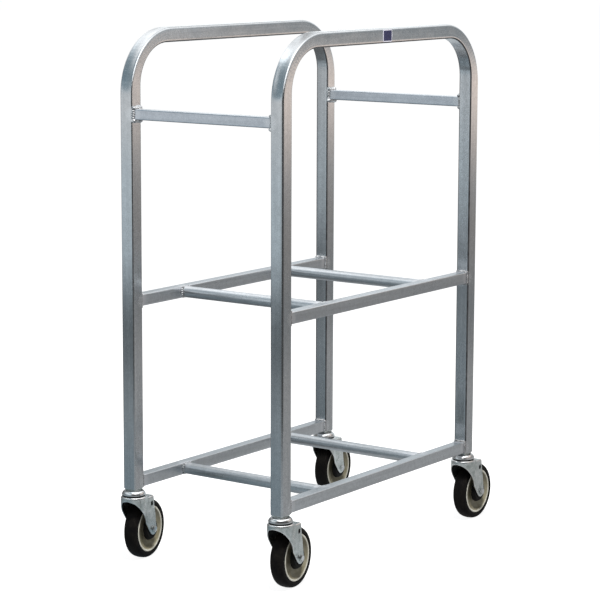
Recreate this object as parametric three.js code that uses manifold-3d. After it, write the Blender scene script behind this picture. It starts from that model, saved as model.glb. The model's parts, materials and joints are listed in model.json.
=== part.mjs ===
// Lug cart: two bent square-tube loops joined by cross bars, rails and round rods, on swivel casters.
// Millimetres. X runs across the cart, Y along the loops towards the back, Z up from the floor.
// Each caster is modelled in its own turned group: its wheel trails along the group's +Y,
// and its axle lies along the group's X.

import * as THREE from 'three';
import { mergeVertices } from 'three/addons/utils/BufferGeometryUtils.js';
import Module from 'manifold-3d';

const wasm = await Module();
wasm.setup();

// Frame: overall places
const OVERALL_HEIGHT = 1150;
const LOOP_SPACING = 392;
const LEG_SPACING = 720;
const TOP_BAR_DROP = 178;
const MID_RAIL_RISE = 395.7;
const LOW_RAIL_RISE = 0.6;
const ROD_SPACING = 384;

// Frame: tube stock
const LOOP_TUBE = 31.75;
const LOOP_WALL = 2.5;
const LOOP_CORNER_RADIUS = 2.5;
const LOOP_OUTER_BEND_RADIUS = 136;
const LOOP_INNER_BEND_RADIUS = 89;
const TOP_BAR_TUBE = 22.2;
const RAIL_TUBE = 25.4;
const CROSS_WALL = 2;
const CROSS_CORNER_RADIUS = 2;
const ROD_DIAMETER = 25.4;
const ROD_WALL = 2;

// Label on the outer face of the right loop
const LABEL_LENGTH = 35;
const LABEL_HEIGHT = 26;
const LABEL_THICKNESS = 0.4;
const LABEL_SHIFT = 1;

// Caster: wheel
const WHEEL_RADIUS = 65;
const TYRE_WIDTH = 32;
const TYRE_SHOULDER_RADIUS = 10;
const TYRE_SIDE_DRAFT = 0.7;
const TYRE_DEPTH = 14.5;
const CORE_WIDTH = 31;
const CORE_LIP_WIDTH = 3.5;
const CORE_WEB_THICKNESS = 9;
const CORE_WEB_FLARE = 1;
const HUB_RADIUS = 13;
const HUB_FILLET = 2;

// Caster: axle
const BOLT_RADIUS = 4;
const BOLT_HEAD_RADIUS = 7.3;
const BOLT_HEAD_THICKNESS = 5;
const BOLT_TAIL = 2.5;
const NUT_RADIUS = 7.3;
const NUT_THICKNESS = 6;
const BUSHING_RADIUS = 6.35;
const GUARD_RADIUS = 25;
const GUARD_THICKNESS = 2.2;
const GUARD_RIM_THICKNESS = 1.2;
const GUARD_FLANK = 4.5;
const GUARD_DEPTH = 6.5;
const HUB_END_PLAY = 0.1;

// Caster: fork
const CASTER_TRAIL = 42.5;
const TYRE_TOP_CLEARANCE = 8;
const FORK_WIDTH = 48;
const FORK_LEG_THICKNESS = 2.5;
const FORK_TIP_RADIUS = 12.7;
const FORK_TIP_START_DEGREES = 225;
const CROWN_RADIUS = 28.2;
const CROWN_THICKNESS = 3;
const CROWN_REAR = 44.2;
const RACEWAY_RISE = 5.6;
const CROWN_EDGE_RADIUS = 1.6;
const SKIRT_HEIGHT = 9.4;
const FORK_HOLE_LENGTH = 7.5;
const FORK_HOLE_HEIGHT = 9;
const FORK_HOLE_REAR_MARGIN = 8;
const FORK_HOLE_DROP = 17;
// Shares of the run from the crown's front to the leg's tip, and of the drop from the skirt to the axle
const FORK_FRONT_EDGE_SHARES = [
  [0, 0], [0.06, 0.045], [0.16, 0.134], [0.266, 0.241], [0.353, 0.338],
  [0.493, 0.483], [0.633, 0.654], [0.755, 0.8], [0.93, 1], [0.983, 1.058],
];
// Shares of the run from the leg's tip to the crown's rear, and of the rise from the axle to the crown
const FORK_REAR_EDGE_SHARES = [[0.23, 0.24], [0.46, 0.46], [0.64, 0.57], [0.79, 0.68], [0.95, 0.87], [1, 1]];

// Caster: swivel head and stem
const COLLAR_HEIGHT = 7;
const COLLAR_TOP_WIDTH = 29.5;
const COLLAR_FOOT_WIDTH = 26;
const PLUG_LENGTH = 50;
const CUP_HEIGHT = 8;
const CUP_RADIUS = 26;
const CUP_CREST_RADIUS = 20;
const CUP_CREST_RISE = 1.8;
const CUP_SEAT_RADIUS = 18.9;
const CUP_RIM_HEIGHT = 1.6;
const CUP_RIM_CHAMFER = 1;
const RACE_HEIGHT = 2.1;
const RACE_RADIUS = 25;
const RACE_BORE_RADIUS = 9;
const KINGPIN_RADIUS = 6;
const KINGPIN_HEAD_RADIUS = 9.5;
const KINGPIN_HEAD_HEIGHT = 3.2;
const KINGPIN_HEAD_CHAMFER = 1;

// How far each caster is turned at rest, in degrees about Z
const LEFT_FRONT_TURN_DEGREES = 8.4;
const RIGHT_FRONT_TURN_DEGREES = 5.5;
const LEFT_BACK_TURN_DEGREES = 3.5;
const RIGHT_BACK_TURN_DEGREES = 0.5;

// Clearances, and the overrun of every cut past the face it goes through
const SEAT_GAP = 0.3;
const SLIP_CLEARANCE = 0.15;
const RUNNING_CLEARANCE = 0.05;
const OVERRUN = 12;

// Facet counts
const WHEEL_FACETS = 28;
const SMALL_FACETS = 16;
const HEAD_FACETS = 20;
const BEND_STEPS = 4;
const CORNER_STEPS = 1;
const ROLLED_EDGE_STEPS = 1;
const SHOULDER_STEPS = 3;
const DOME_STEPS = 3;
const CROWN_STEPS = 5;
const TIP_STEPS = 6;
const HEX_SIDES = 6;
const SQUARE_SIDES = 4;

// Heights and half sizes worked out from the driving sizes
const CROWN_UNDERSIDE = 2 * WHEEL_RADIUS + TYRE_TOP_CLEARANCE;
const CROWN_TOP = CROWN_UNDERSIDE + CROWN_THICKNESS;
const RACEWAY_UNDERSIDE = CROWN_UNDERSIDE + RACEWAY_RISE;
const RACEWAY_TOP = CROWN_TOP + RACEWAY_RISE;
const CUP_FOOT = RACEWAY_TOP + RACE_HEIGHT + SEAT_GAP;
const COLLAR_FOOT = CUP_FOOT + CUP_HEIGHT;
const LEG_END_HEIGHT = COLLAR_FOOT + COLLAR_HEIGHT;
const LOW_LEVEL = LEG_END_HEIGHT + LOW_RAIL_RISE + RAIL_TUBE / 2;
const MID_LEVEL = LOW_LEVEL + MID_RAIL_RISE;
const TOP_BAR_LEVEL = OVERALL_HEIGHT - TOP_BAR_DROP;
const HALF_LOOP_SPACING = LOOP_SPACING / 2;
const HALF_LEG_SPACING = LEG_SPACING / 2;
const HALF_LOOP_TUBE = LOOP_TUBE / 2;
const LEG_GAP = LEG_SPACING - LOOP_TUBE;
const LOOP_GAP = LOOP_SPACING - LOOP_TUBE;
const RAIL_GAP = LOOP_SPACING - RAIL_TUBE;
const HALF_FORK_WIDTH = FORK_WIDTH / 2;
const FORK_INSIDE = HALF_FORK_WIDTH - FORK_LEG_THICKNESS;
const GUARD_FACE = FORK_INSIDE - SEAT_GAP;
const GUARD_BACK = GUARD_FACE - GUARD_THICKNESS;
const BUSHING_END = GUARD_BACK - SEAT_GAP;
const HUB_END = BUSHING_END - HUB_END_PLAY;
const CORE_RADIUS = WHEEL_RADIUS - TYRE_DEPTH;

const finish = (color, roughness, metalness) =>
  new THREE.MeshStandardMaterial({ color, roughness, metalness });
const MATERIALS = {
  aluminium: finish(0xb4b9be, 0.42, 0.9),
  label: finish(0x1d2350, 0.5, 0),
  steel: finish(0xc2c6c9, 0.35, 0.9),
  cup: finish(0xd6d9dc, 0.18, 1),
  race: finish(0x151517, 0.6, 0),
  guard: finish(0x1b1b1d, 0.55, 0),
  core: finish(0xb9b6a0, 0.55, 0),
  tyre: finish(0x17171a, 0.75, 0),
  bushing: finish(0x9fa3a6, 0.4, 0.9),
};

// Solids: from a closed three.js geometry to a manifold and back
function solid(geometry) {
  const bare = geometry.clone();
  bare.deleteAttribute('normal');
  bare.deleteAttribute('uv');
  const merged = mergeVertices(bare);
  const mesh = new wasm.Mesh({
    numProp: 3,
    vertProperties: new Float32Array(merged.attributes.position.array),
    triVerts: new Uint32Array(merged.index.array),
  });
  return new wasm.Manifold(mesh);
}

function surface(manifold) {
  const mesh = manifold.getMesh();
  const geometry = new THREE.BufferGeometry();
  geometry.setAttribute('position', new THREE.BufferAttribute(new Float32Array(mesh.vertProperties), 3));
  geometry.setIndex(new THREE.BufferAttribute(new Uint32Array(mesh.triVerts), 1));
  const flat = geometry.toNonIndexed();
  flat.computeVertexNormals();
  return flat;
}

// The axes trade places without rounding: x, y, z become Y, Z, X
const toYZX = new THREE.Matrix4().makeBasis(
  new THREE.Vector3(0, 1, 0), new THREE.Vector3(0, 0, 1), new THREE.Vector3(1, 0, 0));
// The axes trade places without rounding: x, y, z become Z, X, Y
const toZXY = new THREE.Matrix4().makeBasis(
  new THREE.Vector3(0, 0, 1), new THREE.Vector3(1, 0, 0), new THREE.Vector3(0, 1, 0));

function extrude(shape, depth, options = {}) {
  return new THREE.ExtrudeGeometry(shape, { depth, bevelEnabled: false, ...options });
}

function roundedSquare(width, radius) {
  const half = width / 2;
  const core = half - radius;
  const shape = new THREE.Shape();
  shape.absarc(core, -core, radius, -Math.PI / 2, 0, false);
  shape.absarc(core, core, radius, 0, Math.PI / 2, false);
  shape.absarc(-core, core, radius, Math.PI / 2, Math.PI, false);
  shape.absarc(-core, -core, radius, Math.PI, Math.PI * 1.5, false);
  return shape;
}

// A square tube centred on the origin and lying along z
function crossTube(width, length) {
  const skin = extrude(roundedSquare(width, CROSS_CORNER_RADIUS), length, { curveSegments: CORNER_STEPS })
    .translate(0, 0, -length / 2);
  const boreWidth = width - 2 * CROSS_WALL;
  const bore = new THREE.BoxGeometry(boreWidth, boreWidth, length + OVERRUN);
  return surface(solid(skin).subtract(solid(bore)));
}

// A closed profile of [radius, height] pairs, turned about the y axis with a flat facet on each side
function revolve(pairs, facets) {
  const points = pairs.map(([radius, height]) => new THREE.Vector2(radius, height));
  if (THREE.ShapeUtils.isClockWise(points)) points.reverse();
  points.push(points[0].clone());
  return new THREE.LatheGeometry(points, facets, Math.PI / facets);
}

const upright = (pairs, facets) => revolve(pairs, facets).applyMatrix4(toYZX);
const alongAxle = (pairs, facets) => revolve(pairs, facets).applyMatrix4(toZXY);

// Radius of a faceted bore whose flats clear a round shaft
const boreFor = (shaftRadius, clearance, facets) => (shaftRadius + clearance) / Math.cos(Math.PI / facets);
// Radius of a faceted wheel whose flats lie on the true circle
const aroundFlats = (radius, facets) => radius / Math.cos(Math.PI / facets);

// Loop: the skin's outline, or the bore's when the inset is the wall, from below the leg ends up
function loopOutline(inset) {
  const outerHalf = HALF_LEG_SPACING + HALF_LOOP_TUBE - inset;
  const innerHalf = HALF_LEG_SPACING - HALF_LOOP_TUBE + inset;
  const top = OVERALL_HEIGHT - inset;
  const under = OVERALL_HEIGHT - LOOP_TUBE + inset;
  const outerBend = LOOP_OUTER_BEND_RADIUS - inset;
  const innerBend = LOOP_INNER_BEND_RADIUS + inset;
  const foot = LEG_END_HEIGHT - OVERRUN - inset;
  const shape = new THREE.Shape();
  shape.moveTo(-outerHalf, foot);
  shape.absarc(outerBend - outerHalf, top - outerBend, outerBend, Math.PI, Math.PI / 2, true);
  shape.absarc(outerHalf - outerBend, top - outerBend, outerBend, Math.PI / 2, 0, true);
  shape.lineTo(outerHalf, foot);
  shape.lineTo(innerHalf, foot);
  shape.absarc(innerHalf - innerBend, under - innerBend, innerBend, 0, Math.PI / 2, false);
  shape.absarc(innerBend - innerHalf, under - innerBend, innerBend, Math.PI / 2, Math.PI, false);
  shape.lineTo(-innerHalf, foot);
  shape.closePath();
  return shape;
}

function loopGeometry() {
  const flatDepth = LOOP_TUBE - 2 * LOOP_CORNER_RADIUS;
  const skin = extrude(loopOutline(0), flatDepth, {
    curveSegments: BEND_STEPS,
    bevelEnabled: true,
    bevelThickness: LOOP_CORNER_RADIUS,
    bevelSize: LOOP_CORNER_RADIUS,
    bevelOffset: -LOOP_CORNER_RADIUS,
    bevelSegments: ROLLED_EDGE_STEPS,
  }).translate(0, 0, -flatDepth / 2);
  const boreDepth = LOOP_TUBE - 2 * LOOP_WALL;
  const bore = extrude(loopOutline(LOOP_WALL), boreDepth, { curveSegments: BEND_STEPS })
    .translate(0, 0, -boreDepth / 2);
  const footTrim = new THREE.BoxGeometry(LOOP_TUBE + OVERRUN, LEG_SPACING + LOOP_TUBE + OVERRUN, 2 * OVERRUN)
    .translate(0, 0, LEG_END_HEIGHT - OVERRUN);
  return surface(
    solid(skin.applyMatrix4(toYZX)).subtract(solid(bore.applyMatrix4(toYZX))).subtract(solid(footTrim)));
}

function rodGeometry() {
  const outside = ROD_DIAMETER / 2;
  const bore = outside - ROD_WALL;
  const end = RAIL_GAP / 2;
  return alongAxle([[bore, -end], [outside, -end], [outside, end], [bore, end]], SMALL_FACETS);
}

function addMesh(group, name, geometry, material, x = 0, y = 0, z = 0) {
  const mesh = new THREE.Mesh(geometry, material);
  mesh.name = name;
  mesh.position.set(x, y, z);
  group.add(mesh);
}

function addFrame(group) {
  const loop = loopGeometry();
  const rail = crossTube(RAIL_TUBE, LEG_GAP).applyMatrix4(toZXY);
  const bar = crossTube(TOP_BAR_TUBE, LOOP_GAP).applyMatrix4(toYZX);
  const rod = rodGeometry();
  for (const [side, x] of [['left', -HALF_LOOP_SPACING], ['right', HALF_LOOP_SPACING]]) {
    addMesh(group, `${side}_loop`, loop, MATERIALS.aluminium, x);
    addMesh(group, `${side}_mid_rail`, rail, MATERIALS.aluminium, x, 0, MID_LEVEL);
    addMesh(group, `${side}_low_rail`, rail, MATERIALS.aluminium, x, 0, LOW_LEVEL);
  }
  for (const [end, sign] of [['front', -1], ['back', 1]]) {
    addMesh(group, `${end}_top_bar`, bar, MATERIALS.aluminium, 0, sign * HALF_LEG_SPACING, TOP_BAR_LEVEL);
    addMesh(group, `${end}_mid_rod`, rod, MATERIALS.aluminium, 0, sign * ROD_SPACING / 2, MID_LEVEL);
    addMesh(group, `${end}_low_rod`, rod, MATERIALS.aluminium, 0, sign * ROD_SPACING / 2, LOW_LEVEL);
  }
}

function addLabel(group) {
  const plate = new THREE.BoxGeometry(LABEL_THICKNESS, LABEL_LENGTH, LABEL_HEIGHT);
  const x = HALF_LOOP_SPACING + HALF_LOOP_TUBE + LABEL_THICKNESS / 2;
  addMesh(group, 'label_plate', plate, MATERIALS.label, x, LABEL_SHIFT, OVERALL_HEIGHT - HALF_LOOP_TUBE);
}

// Stem: a square plug in the leg, a tapered collar under its end, and the kingpin with its peened head
function stemGeometry() {
  const plugWidth = LOOP_TUBE - 2 * LOOP_WALL - 2 * SLIP_CLEARANCE;
  const plugHeight = PLUG_LENGTH + COLLAR_HEIGHT / 2;
  const plug = new THREE.BoxGeometry(plugWidth, plugWidth, plugHeight)
    .translate(0, 0, LEG_END_HEIGHT + PLUG_LENGTH - plugHeight / 2);
  const collar = new THREE.CylinderGeometry(
    COLLAR_TOP_WIDTH * Math.SQRT1_2, COLLAR_FOOT_WIDTH * Math.SQRT1_2, COLLAR_HEIGHT, SQUARE_SIDES)
    .applyMatrix4(toYZX).rotateZ(Math.PI / SQUARE_SIDES)
    .translate(0, 0, LEG_END_HEIGHT - COLLAR_HEIGHT / 2);
  const headTop = RACEWAY_UNDERSIDE - SEAT_GAP;
  const headFoot = headTop - KINGPIN_HEAD_HEIGHT;
  const kingpinTop = COLLAR_FOOT + COLLAR_HEIGHT / 2;
  const kingpin = upright([
    [0, headFoot],
    [KINGPIN_HEAD_RADIUS - KINGPIN_HEAD_CHAMFER, headFoot],
    [KINGPIN_HEAD_RADIUS, headFoot + KINGPIN_HEAD_CHAMFER],
    [KINGPIN_HEAD_RADIUS, headTop],
    [KINGPIN_RADIUS, headTop],
    [KINGPIN_RADIUS, kingpinTop],
    [0, kingpinTop],
  ], SMALL_FACETS);
  return surface(solid(plug).add(solid(collar)).add(solid(kingpin)));
}

// Cup: a low rim, a dome up to a round crest, and the sunken seat of the collar inside it
function cupGeometry() {
  const bore = boreFor(KINGPIN_RADIUS, SLIP_CLEARANCE, SMALL_FACETS);
  const rimTop = CUP_FOOT + CUP_RIM_HEIGHT;
  const crest = COLLAR_FOOT + CUP_CREST_RISE;
  const profile = [
    [bore, CUP_FOOT],
    [CUP_RADIUS - CUP_RIM_CHAMFER, CUP_FOOT],
    [CUP_RADIUS, CUP_FOOT + CUP_RIM_CHAMFER],
  ];
  for (let step = 0; step <= DOME_STEPS; step += 1) {
    const angle = (step / DOME_STEPS) * Math.PI / 2;
    profile.push([
      CUP_CREST_RADIUS + (CUP_RADIUS - CUP_CREST_RADIUS) * Math.cos(angle),
      rimTop + (crest - rimTop) * Math.sin(angle),
    ]);
  }
  profile.push([CUP_SEAT_RADIUS, COLLAR_FOOT], [bore, COLLAR_FOOT]);
  return upright(profile, HEAD_FACETS);
}

function raceGeometry() {
  return upright([
    [RACE_BORE_RADIUS, RACEWAY_TOP],
    [RACE_RADIUS, RACEWAY_TOP],
    [RACE_RADIUS, RACEWAY_TOP + RACE_HEIGHT],
    [RACE_BORE_RADIUS, RACEWAY_TOP + RACE_HEIGHT],
  ], HEAD_FACETS);
}

// Fork seen from above: how far back its round front meets its straight sides
const forkMeet = (inset) => Math.sqrt((CROWN_RADIUS - inset) ** 2 - (HALF_FORK_WIDTH - inset) ** 2);

// Fork seen from above: a round front about the swivel axis, and straight sides towards the rear
function forkPlan(inset, rear) {
  const radius = CROWN_RADIUS - inset;
  const half = HALF_FORK_WIDTH - inset;
  const meet = Math.asin(forkMeet(inset) / radius);
  const shape = new THREE.Shape();
  shape.moveTo(half, rear);
  shape.lineTo(-half, rear);
  shape.absarc(0, 0, radius, Math.PI - meet, Math.PI * 2 + meet, false);
  shape.closePath();
  return shape;
}

// Fork seen from the side: the skirt and the front edge curve down to a round tip about the axle
function forkSide() {
  const tipFront = CASTER_TRAIL - FORK_TIP_RADIUS;
  const tipRear = CASTER_TRAIL + FORK_TIP_RADIUS;
  const skirtFoot = RACEWAY_TOP - SKIRT_HEIGHT;
  const run = tipFront + CROWN_RADIUS;
  const drop = skirtFoot - WHEEL_RADIUS;
  const top = RACEWAY_TOP + OVERRUN;
  const shape = new THREE.Shape();
  shape.moveTo(-CROWN_RADIUS - OVERRUN, top);
  shape.lineTo(-CROWN_RADIUS - OVERRUN, skirtFoot);
  for (const [runShare, dropShare] of FORK_FRONT_EDGE_SHARES) {
    shape.lineTo(-CROWN_RADIUS + runShare * run, skirtFoot - dropShare * drop);
  }
  const tipStart = THREE.MathUtils.degToRad(FORK_TIP_START_DEGREES);
  shape.absarc(CASTER_TRAIL, WHEEL_RADIUS, FORK_TIP_RADIUS, tipStart, Math.PI * 2, false);
  for (const [runShare, riseShare] of FORK_REAR_EDGE_SHARES) {
    shape.lineTo(tipRear - runShare * (tipRear - CROWN_REAR),
      WHEEL_RADIUS + riseShare * (CROWN_TOP - WHEEL_RADIUS));
  }
  shape.lineTo(CROWN_REAR, top);
  shape.closePath();
  return shape;
}

// The raised round seat of the raceway, cut out of a body that has the fork's plan at every height
function raised(body, inset, foot, top) {
  const meet = forkMeet(inset);
  const reach = CROWN_RADIUS + OVERRUN;
  const front = new THREE.BoxGeometry(2 * reach, reach + meet, top - foot)
    .translate(0, (meet - reach) / 2, (foot + top) / 2);
  const radius = CROWN_RADIUS - inset;
  const round = upright([[0, foot], [radius, foot], [radius, top], [0, top]], HEAD_FACETS);
  return solid(body).intersect(solid(front).add(solid(round)));
}

function forkGeometry() {
  const rear = CASTER_TRAIL + FORK_TIP_RADIUS + OVERRUN;
  const planFoot = WHEEL_RADIUS - FORK_TIP_RADIUS - OVERRUN;
  const outside = (top) => extrude(forkPlan(0, rear), top - planFoot - 2 * CROWN_EDGE_RADIUS, {
    curveSegments: CROWN_STEPS,
    bevelEnabled: true,
    bevelThickness: CROWN_EDGE_RADIUS,
    bevelSize: CROWN_EDGE_RADIUS,
    bevelOffset: -CROWN_EDGE_RADIUS,
    bevelSegments: ROLLED_EDGE_STEPS,
  }).translate(0, 0, planFoot + CROWN_EDGE_RADIUS);
  const inside = (top) => extrude(forkPlan(FORK_LEG_THICKNESS, rear + OVERRUN), top - planFoot + OVERRUN, {
    curveSegments: CROWN_STEPS,
  }).translate(0, 0, planFoot - OVERRUN);
  const skin = solid(outside(CROWN_TOP))
    .add(raised(outside(RACEWAY_TOP), 0, CROWN_TOP - OVERRUN, RACEWAY_TOP + OVERRUN));
  const hollow = solid(inside(CROWN_UNDERSIDE))
    .add(raised(inside(RACEWAY_UNDERSIDE), FORK_LEG_THICKNESS, CROWN_UNDERSIDE - OVERRUN, RACEWAY_TOP));
  const sideDepth = 2 * CROWN_RADIUS + OVERRUN;
  const side = extrude(forkSide(), sideDepth, { curveSegments: TIP_STEPS / 2 })
    .translate(0, 0, -sideDepth / 2).applyMatrix4(toYZX);
  const kingpinHole = boreFor(KINGPIN_RADIUS, SLIP_CLEARANCE, SMALL_FACETS);
  const kingpinCut = upright([
    [0, CROWN_UNDERSIDE - OVERRUN], [kingpinHole, CROWN_UNDERSIDE - OVERRUN],
    [kingpinHole, RACEWAY_TOP + OVERRUN], [0, RACEWAY_TOP + OVERRUN],
  ], SMALL_FACETS);
  const boltHole = boreFor(BOLT_RADIUS, SLIP_CLEARANCE, SMALL_FACETS);
  const cutEnd = HALF_FORK_WIDTH + OVERRUN;
  const axleCut = alongAxle([
    [0, -cutEnd], [boltHole, -cutEnd], [boltHole, cutEnd], [0, cutEnd],
  ], SMALL_FACETS).translate(0, CASTER_TRAIL, WHEEL_RADIUS);
  const slotCut = new THREE.BoxGeometry(FORK_WIDTH + OVERRUN, FORK_HOLE_LENGTH, FORK_HOLE_HEIGHT)
    .translate(0, CROWN_REAR - FORK_HOLE_REAR_MARGIN, CROWN_TOP - FORK_HOLE_DROP);
  return surface(
    skin.intersect(solid(side)).subtract(hollow)
      .subtract(solid(kingpinCut)).subtract(solid(axleCut)).subtract(solid(slotCut)));
}

function boltGeometry() {
  const seat = HALF_FORK_WIDTH + SEAT_GAP;
  const tail = -(seat + NUT_THICKNESS + BOLT_TAIL);
  const shank = alongAxle([
    [0, tail], [BOLT_RADIUS, tail], [BOLT_RADIUS, seat + BOLT_HEAD_THICKNESS / 2],
    [0, seat + BOLT_HEAD_THICKNESS / 2],
  ], SMALL_FACETS);
  const head = new THREE.CylinderGeometry(BOLT_HEAD_RADIUS, BOLT_HEAD_RADIUS, BOLT_HEAD_THICKNESS, HEX_SIDES)
    .applyMatrix4(toZXY).translate(seat + BOLT_HEAD_THICKNESS / 2, 0, 0);
  return surface(solid(shank).add(solid(head)));
}

function nutGeometry() {
  const centre = -(HALF_FORK_WIDTH + SEAT_GAP + NUT_THICKNESS / 2);
  const bore = boreFor(BOLT_RADIUS, SLIP_CLEARANCE, SMALL_FACETS);
  const body = new THREE.CylinderGeometry(NUT_RADIUS, NUT_RADIUS, NUT_THICKNESS, HEX_SIDES)
    .applyMatrix4(toZXY).translate(centre, 0, 0);
  const cut = alongAxle([
    [0, centre - OVERRUN], [bore, centre - OVERRUN], [bore, centre + OVERRUN], [0, centre + OVERRUN],
  ], SMALL_FACETS);
  return surface(solid(body).subtract(solid(cut)));
}

function bushingGeometry() {
  const bore = boreFor(BOLT_RADIUS, SLIP_CLEARANCE, SMALL_FACETS);
  return alongAxle([
    [bore, -BUSHING_END], [BUSHING_RADIUS, -BUSHING_END],
    [BUSHING_RADIUS, BUSHING_END], [bore, BUSHING_END],
  ], SMALL_FACETS);
}

// Thread guard: a dished disc between the hub and the fork leg, towards the bolt head when the sign is 1
function guardGeometry(sign) {
  const bore = boreFor(BOLT_RADIUS, SLIP_CLEARANCE, SMALL_FACETS);
  const shoulder = GUARD_RADIUS - GUARD_FLANK;
  const profile = [
    [bore, GUARD_BACK],
    [shoulder, GUARD_BACK],
    [GUARD_RADIUS - GUARD_RIM_THICKNESS, GUARD_BACK - GUARD_DEPTH],
    [GUARD_RADIUS, GUARD_BACK - GUARD_DEPTH],
    [GUARD_RADIUS, GUARD_BACK - GUARD_DEPTH + GUARD_RIM_THICKNESS],
    [shoulder + GUARD_RIM_THICKNESS, GUARD_FACE],
    [bore, GUARD_FACE],
  ];
  return alongAxle(profile.map(([radius, offset]) => [radius, sign * offset]), SMALL_FACETS);
}

function coreGeometry() {
  const bore = boreFor(BUSHING_RADIUS, RUNNING_CLEARANCE, WHEEL_FACETS);
  const rim = aroundFlats(CORE_RADIUS, WHEEL_FACETS);
  const half = CORE_WIDTH / 2;
  const webHalf = CORE_WEB_THICKNESS / 2;
  const lipFoot = CORE_RADIUS - CORE_LIP_WIDTH;
  const side = [
    [HUB_RADIUS, HUB_END],
    [HUB_RADIUS + HUB_FILLET, webHalf],
    [lipFoot - CORE_LIP_WIDTH, webHalf + CORE_WEB_FLARE],
    [lipFoot, half],
    [rim, half],
  ];
  const mirrored = side.map(([radius, offset]) => [radius, -offset]).reverse();
  return alongAxle([[bore, HUB_END], ...side, ...mirrored, [bore, -HUB_END]], WHEEL_FACETS);
}

function tyreGeometry() {
  const bore = aroundFlats(CORE_RADIUS + SEAT_GAP, WHEEL_FACETS);
  const half = TYRE_WIDTH / 2;
  const shoulder = WHEEL_RADIUS - TYRE_SHOULDER_RADIUS;
  const side = [[bore, half - TYRE_SIDE_DRAFT]];
  for (let step = 0; step <= SHOULDER_STEPS; step += 1) {
    const angle = (step / SHOULDER_STEPS) * Math.PI / 2;
    side.push([
      aroundFlats(shoulder + TYRE_SHOULDER_RADIUS * Math.sin(angle), WHEEL_FACETS),
      half - TYRE_SHOULDER_RADIUS + TYRE_SHOULDER_RADIUS * Math.cos(angle),
    ]);
  }
  const mirrored = side.map(([radius, offset]) => [radius, -offset]).reverse();
  return alongAxle([...side, ...mirrored], WHEEL_FACETS);
}

const CASTER_GEOMETRY = {
  stem: stemGeometry(),
  cup: cupGeometry(),
  race: raceGeometry(),
  fork: forkGeometry(),
  bolt: boltGeometry(),
  nut: nutGeometry(),
  bushing: bushingGeometry(),
  headGuard: guardGeometry(1),
  nutGuard: guardGeometry(-1),
  core: coreGeometry(),
  tyre: tyreGeometry(),
};

function addCaster(group, name, x, y, turnDegrees) {
  const head = new THREE.Group();
  head.position.set(x, y, 0);
  addMesh(head, `${name}_stem`, CASTER_GEOMETRY.stem, MATERIALS.steel);
  addMesh(head, `${name}_top_cup`, CASTER_GEOMETRY.cup, MATERIALS.cup);
  const swivel = new THREE.Group();
  swivel.rotation.z = THREE.MathUtils.degToRad(turnDegrees);
  addMesh(swivel, `${name}_race_ring`, CASTER_GEOMETRY.race, MATERIALS.race);
  addMesh(swivel, `${name}_fork`, CASTER_GEOMETRY.fork, MATERIALS.steel);
  const axle = new THREE.Group();
  axle.position.set(0, CASTER_TRAIL, WHEEL_RADIUS);
  addMesh(axle, `${name}_axle_bolt`, CASTER_GEOMETRY.bolt, MATERIALS.steel);
  addMesh(axle, `${name}_axle_nut`, CASTER_GEOMETRY.nut, MATERIALS.steel);
  addMesh(axle, `${name}_axle_bushing`, CASTER_GEOMETRY.bushing, MATERIALS.bushing);
  addMesh(axle, `${name}_head_guard`, CASTER_GEOMETRY.headGuard, MATERIALS.guard);
  addMesh(axle, `${name}_nut_guard`, CASTER_GEOMETRY.nutGuard, MATERIALS.guard);
  addMesh(axle, `${name}_wheel_core`, CASTER_GEOMETRY.core, MATERIALS.core);
  addMesh(axle, `${name}_tyre`, CASTER_GEOMETRY.tyre, MATERIALS.tyre);
  swivel.add(axle);
  head.add(swivel);
  group.add(head);
}

function buildCart() {
  const cart = new THREE.Group();
  addFrame(cart);
  addLabel(cart);
  addCaster(cart, 'left_front', -HALF_LOOP_SPACING, -HALF_LEG_SPACING, LEFT_FRONT_TURN_DEGREES);
  addCaster(cart, 'right_front', HALF_LOOP_SPACING, -HALF_LEG_SPACING, RIGHT_FRONT_TURN_DEGREES);
  addCaster(cart, 'left_back', -HALF_LOOP_SPACING, HALF_LEG_SPACING, LEFT_BACK_TURN_DEGREES);
  addCaster(cart, 'right_back', HALF_LOOP_SPACING, HALF_LEG_SPACING, RIGHT_BACK_TURN_DEGREES);
  return cart;
}

// The origin is the middle of the cart's box at floor level
function centreOnFloor(cart) {
  cart.updateMatrixWorld(true);
  const box = new THREE.Box3().setFromObject(cart, true);
  const middle = box.getCenter(new THREE.Vector3());
  cart.position.set(-middle.x, -middle.y, 0);
  cart.updateMatrixWorld(true);
  return cart;
}

export default centreOnFloor(buildCart());
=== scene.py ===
"""Lug cart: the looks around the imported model.

Two bent square-tube loops of bare aluminium, joined by cross bars, rails and round rods with
rippled fillet welds, stand on four swivel casters. Shapes are worked out in millimetres in the
cart's own frame (origin on the floor midway between the legs) and become metres, in the row
frame, when a piece is made.
"""

import json
import logging
import math
from dataclasses import dataclass, field
from enum import Enum
from typing import Any, Mapping, Sequence

import bmesh
import bpy
import numpy as np
from mathutils import Matrix, Vector
from mathutils.geometry import delaunay_2d_cdt


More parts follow.
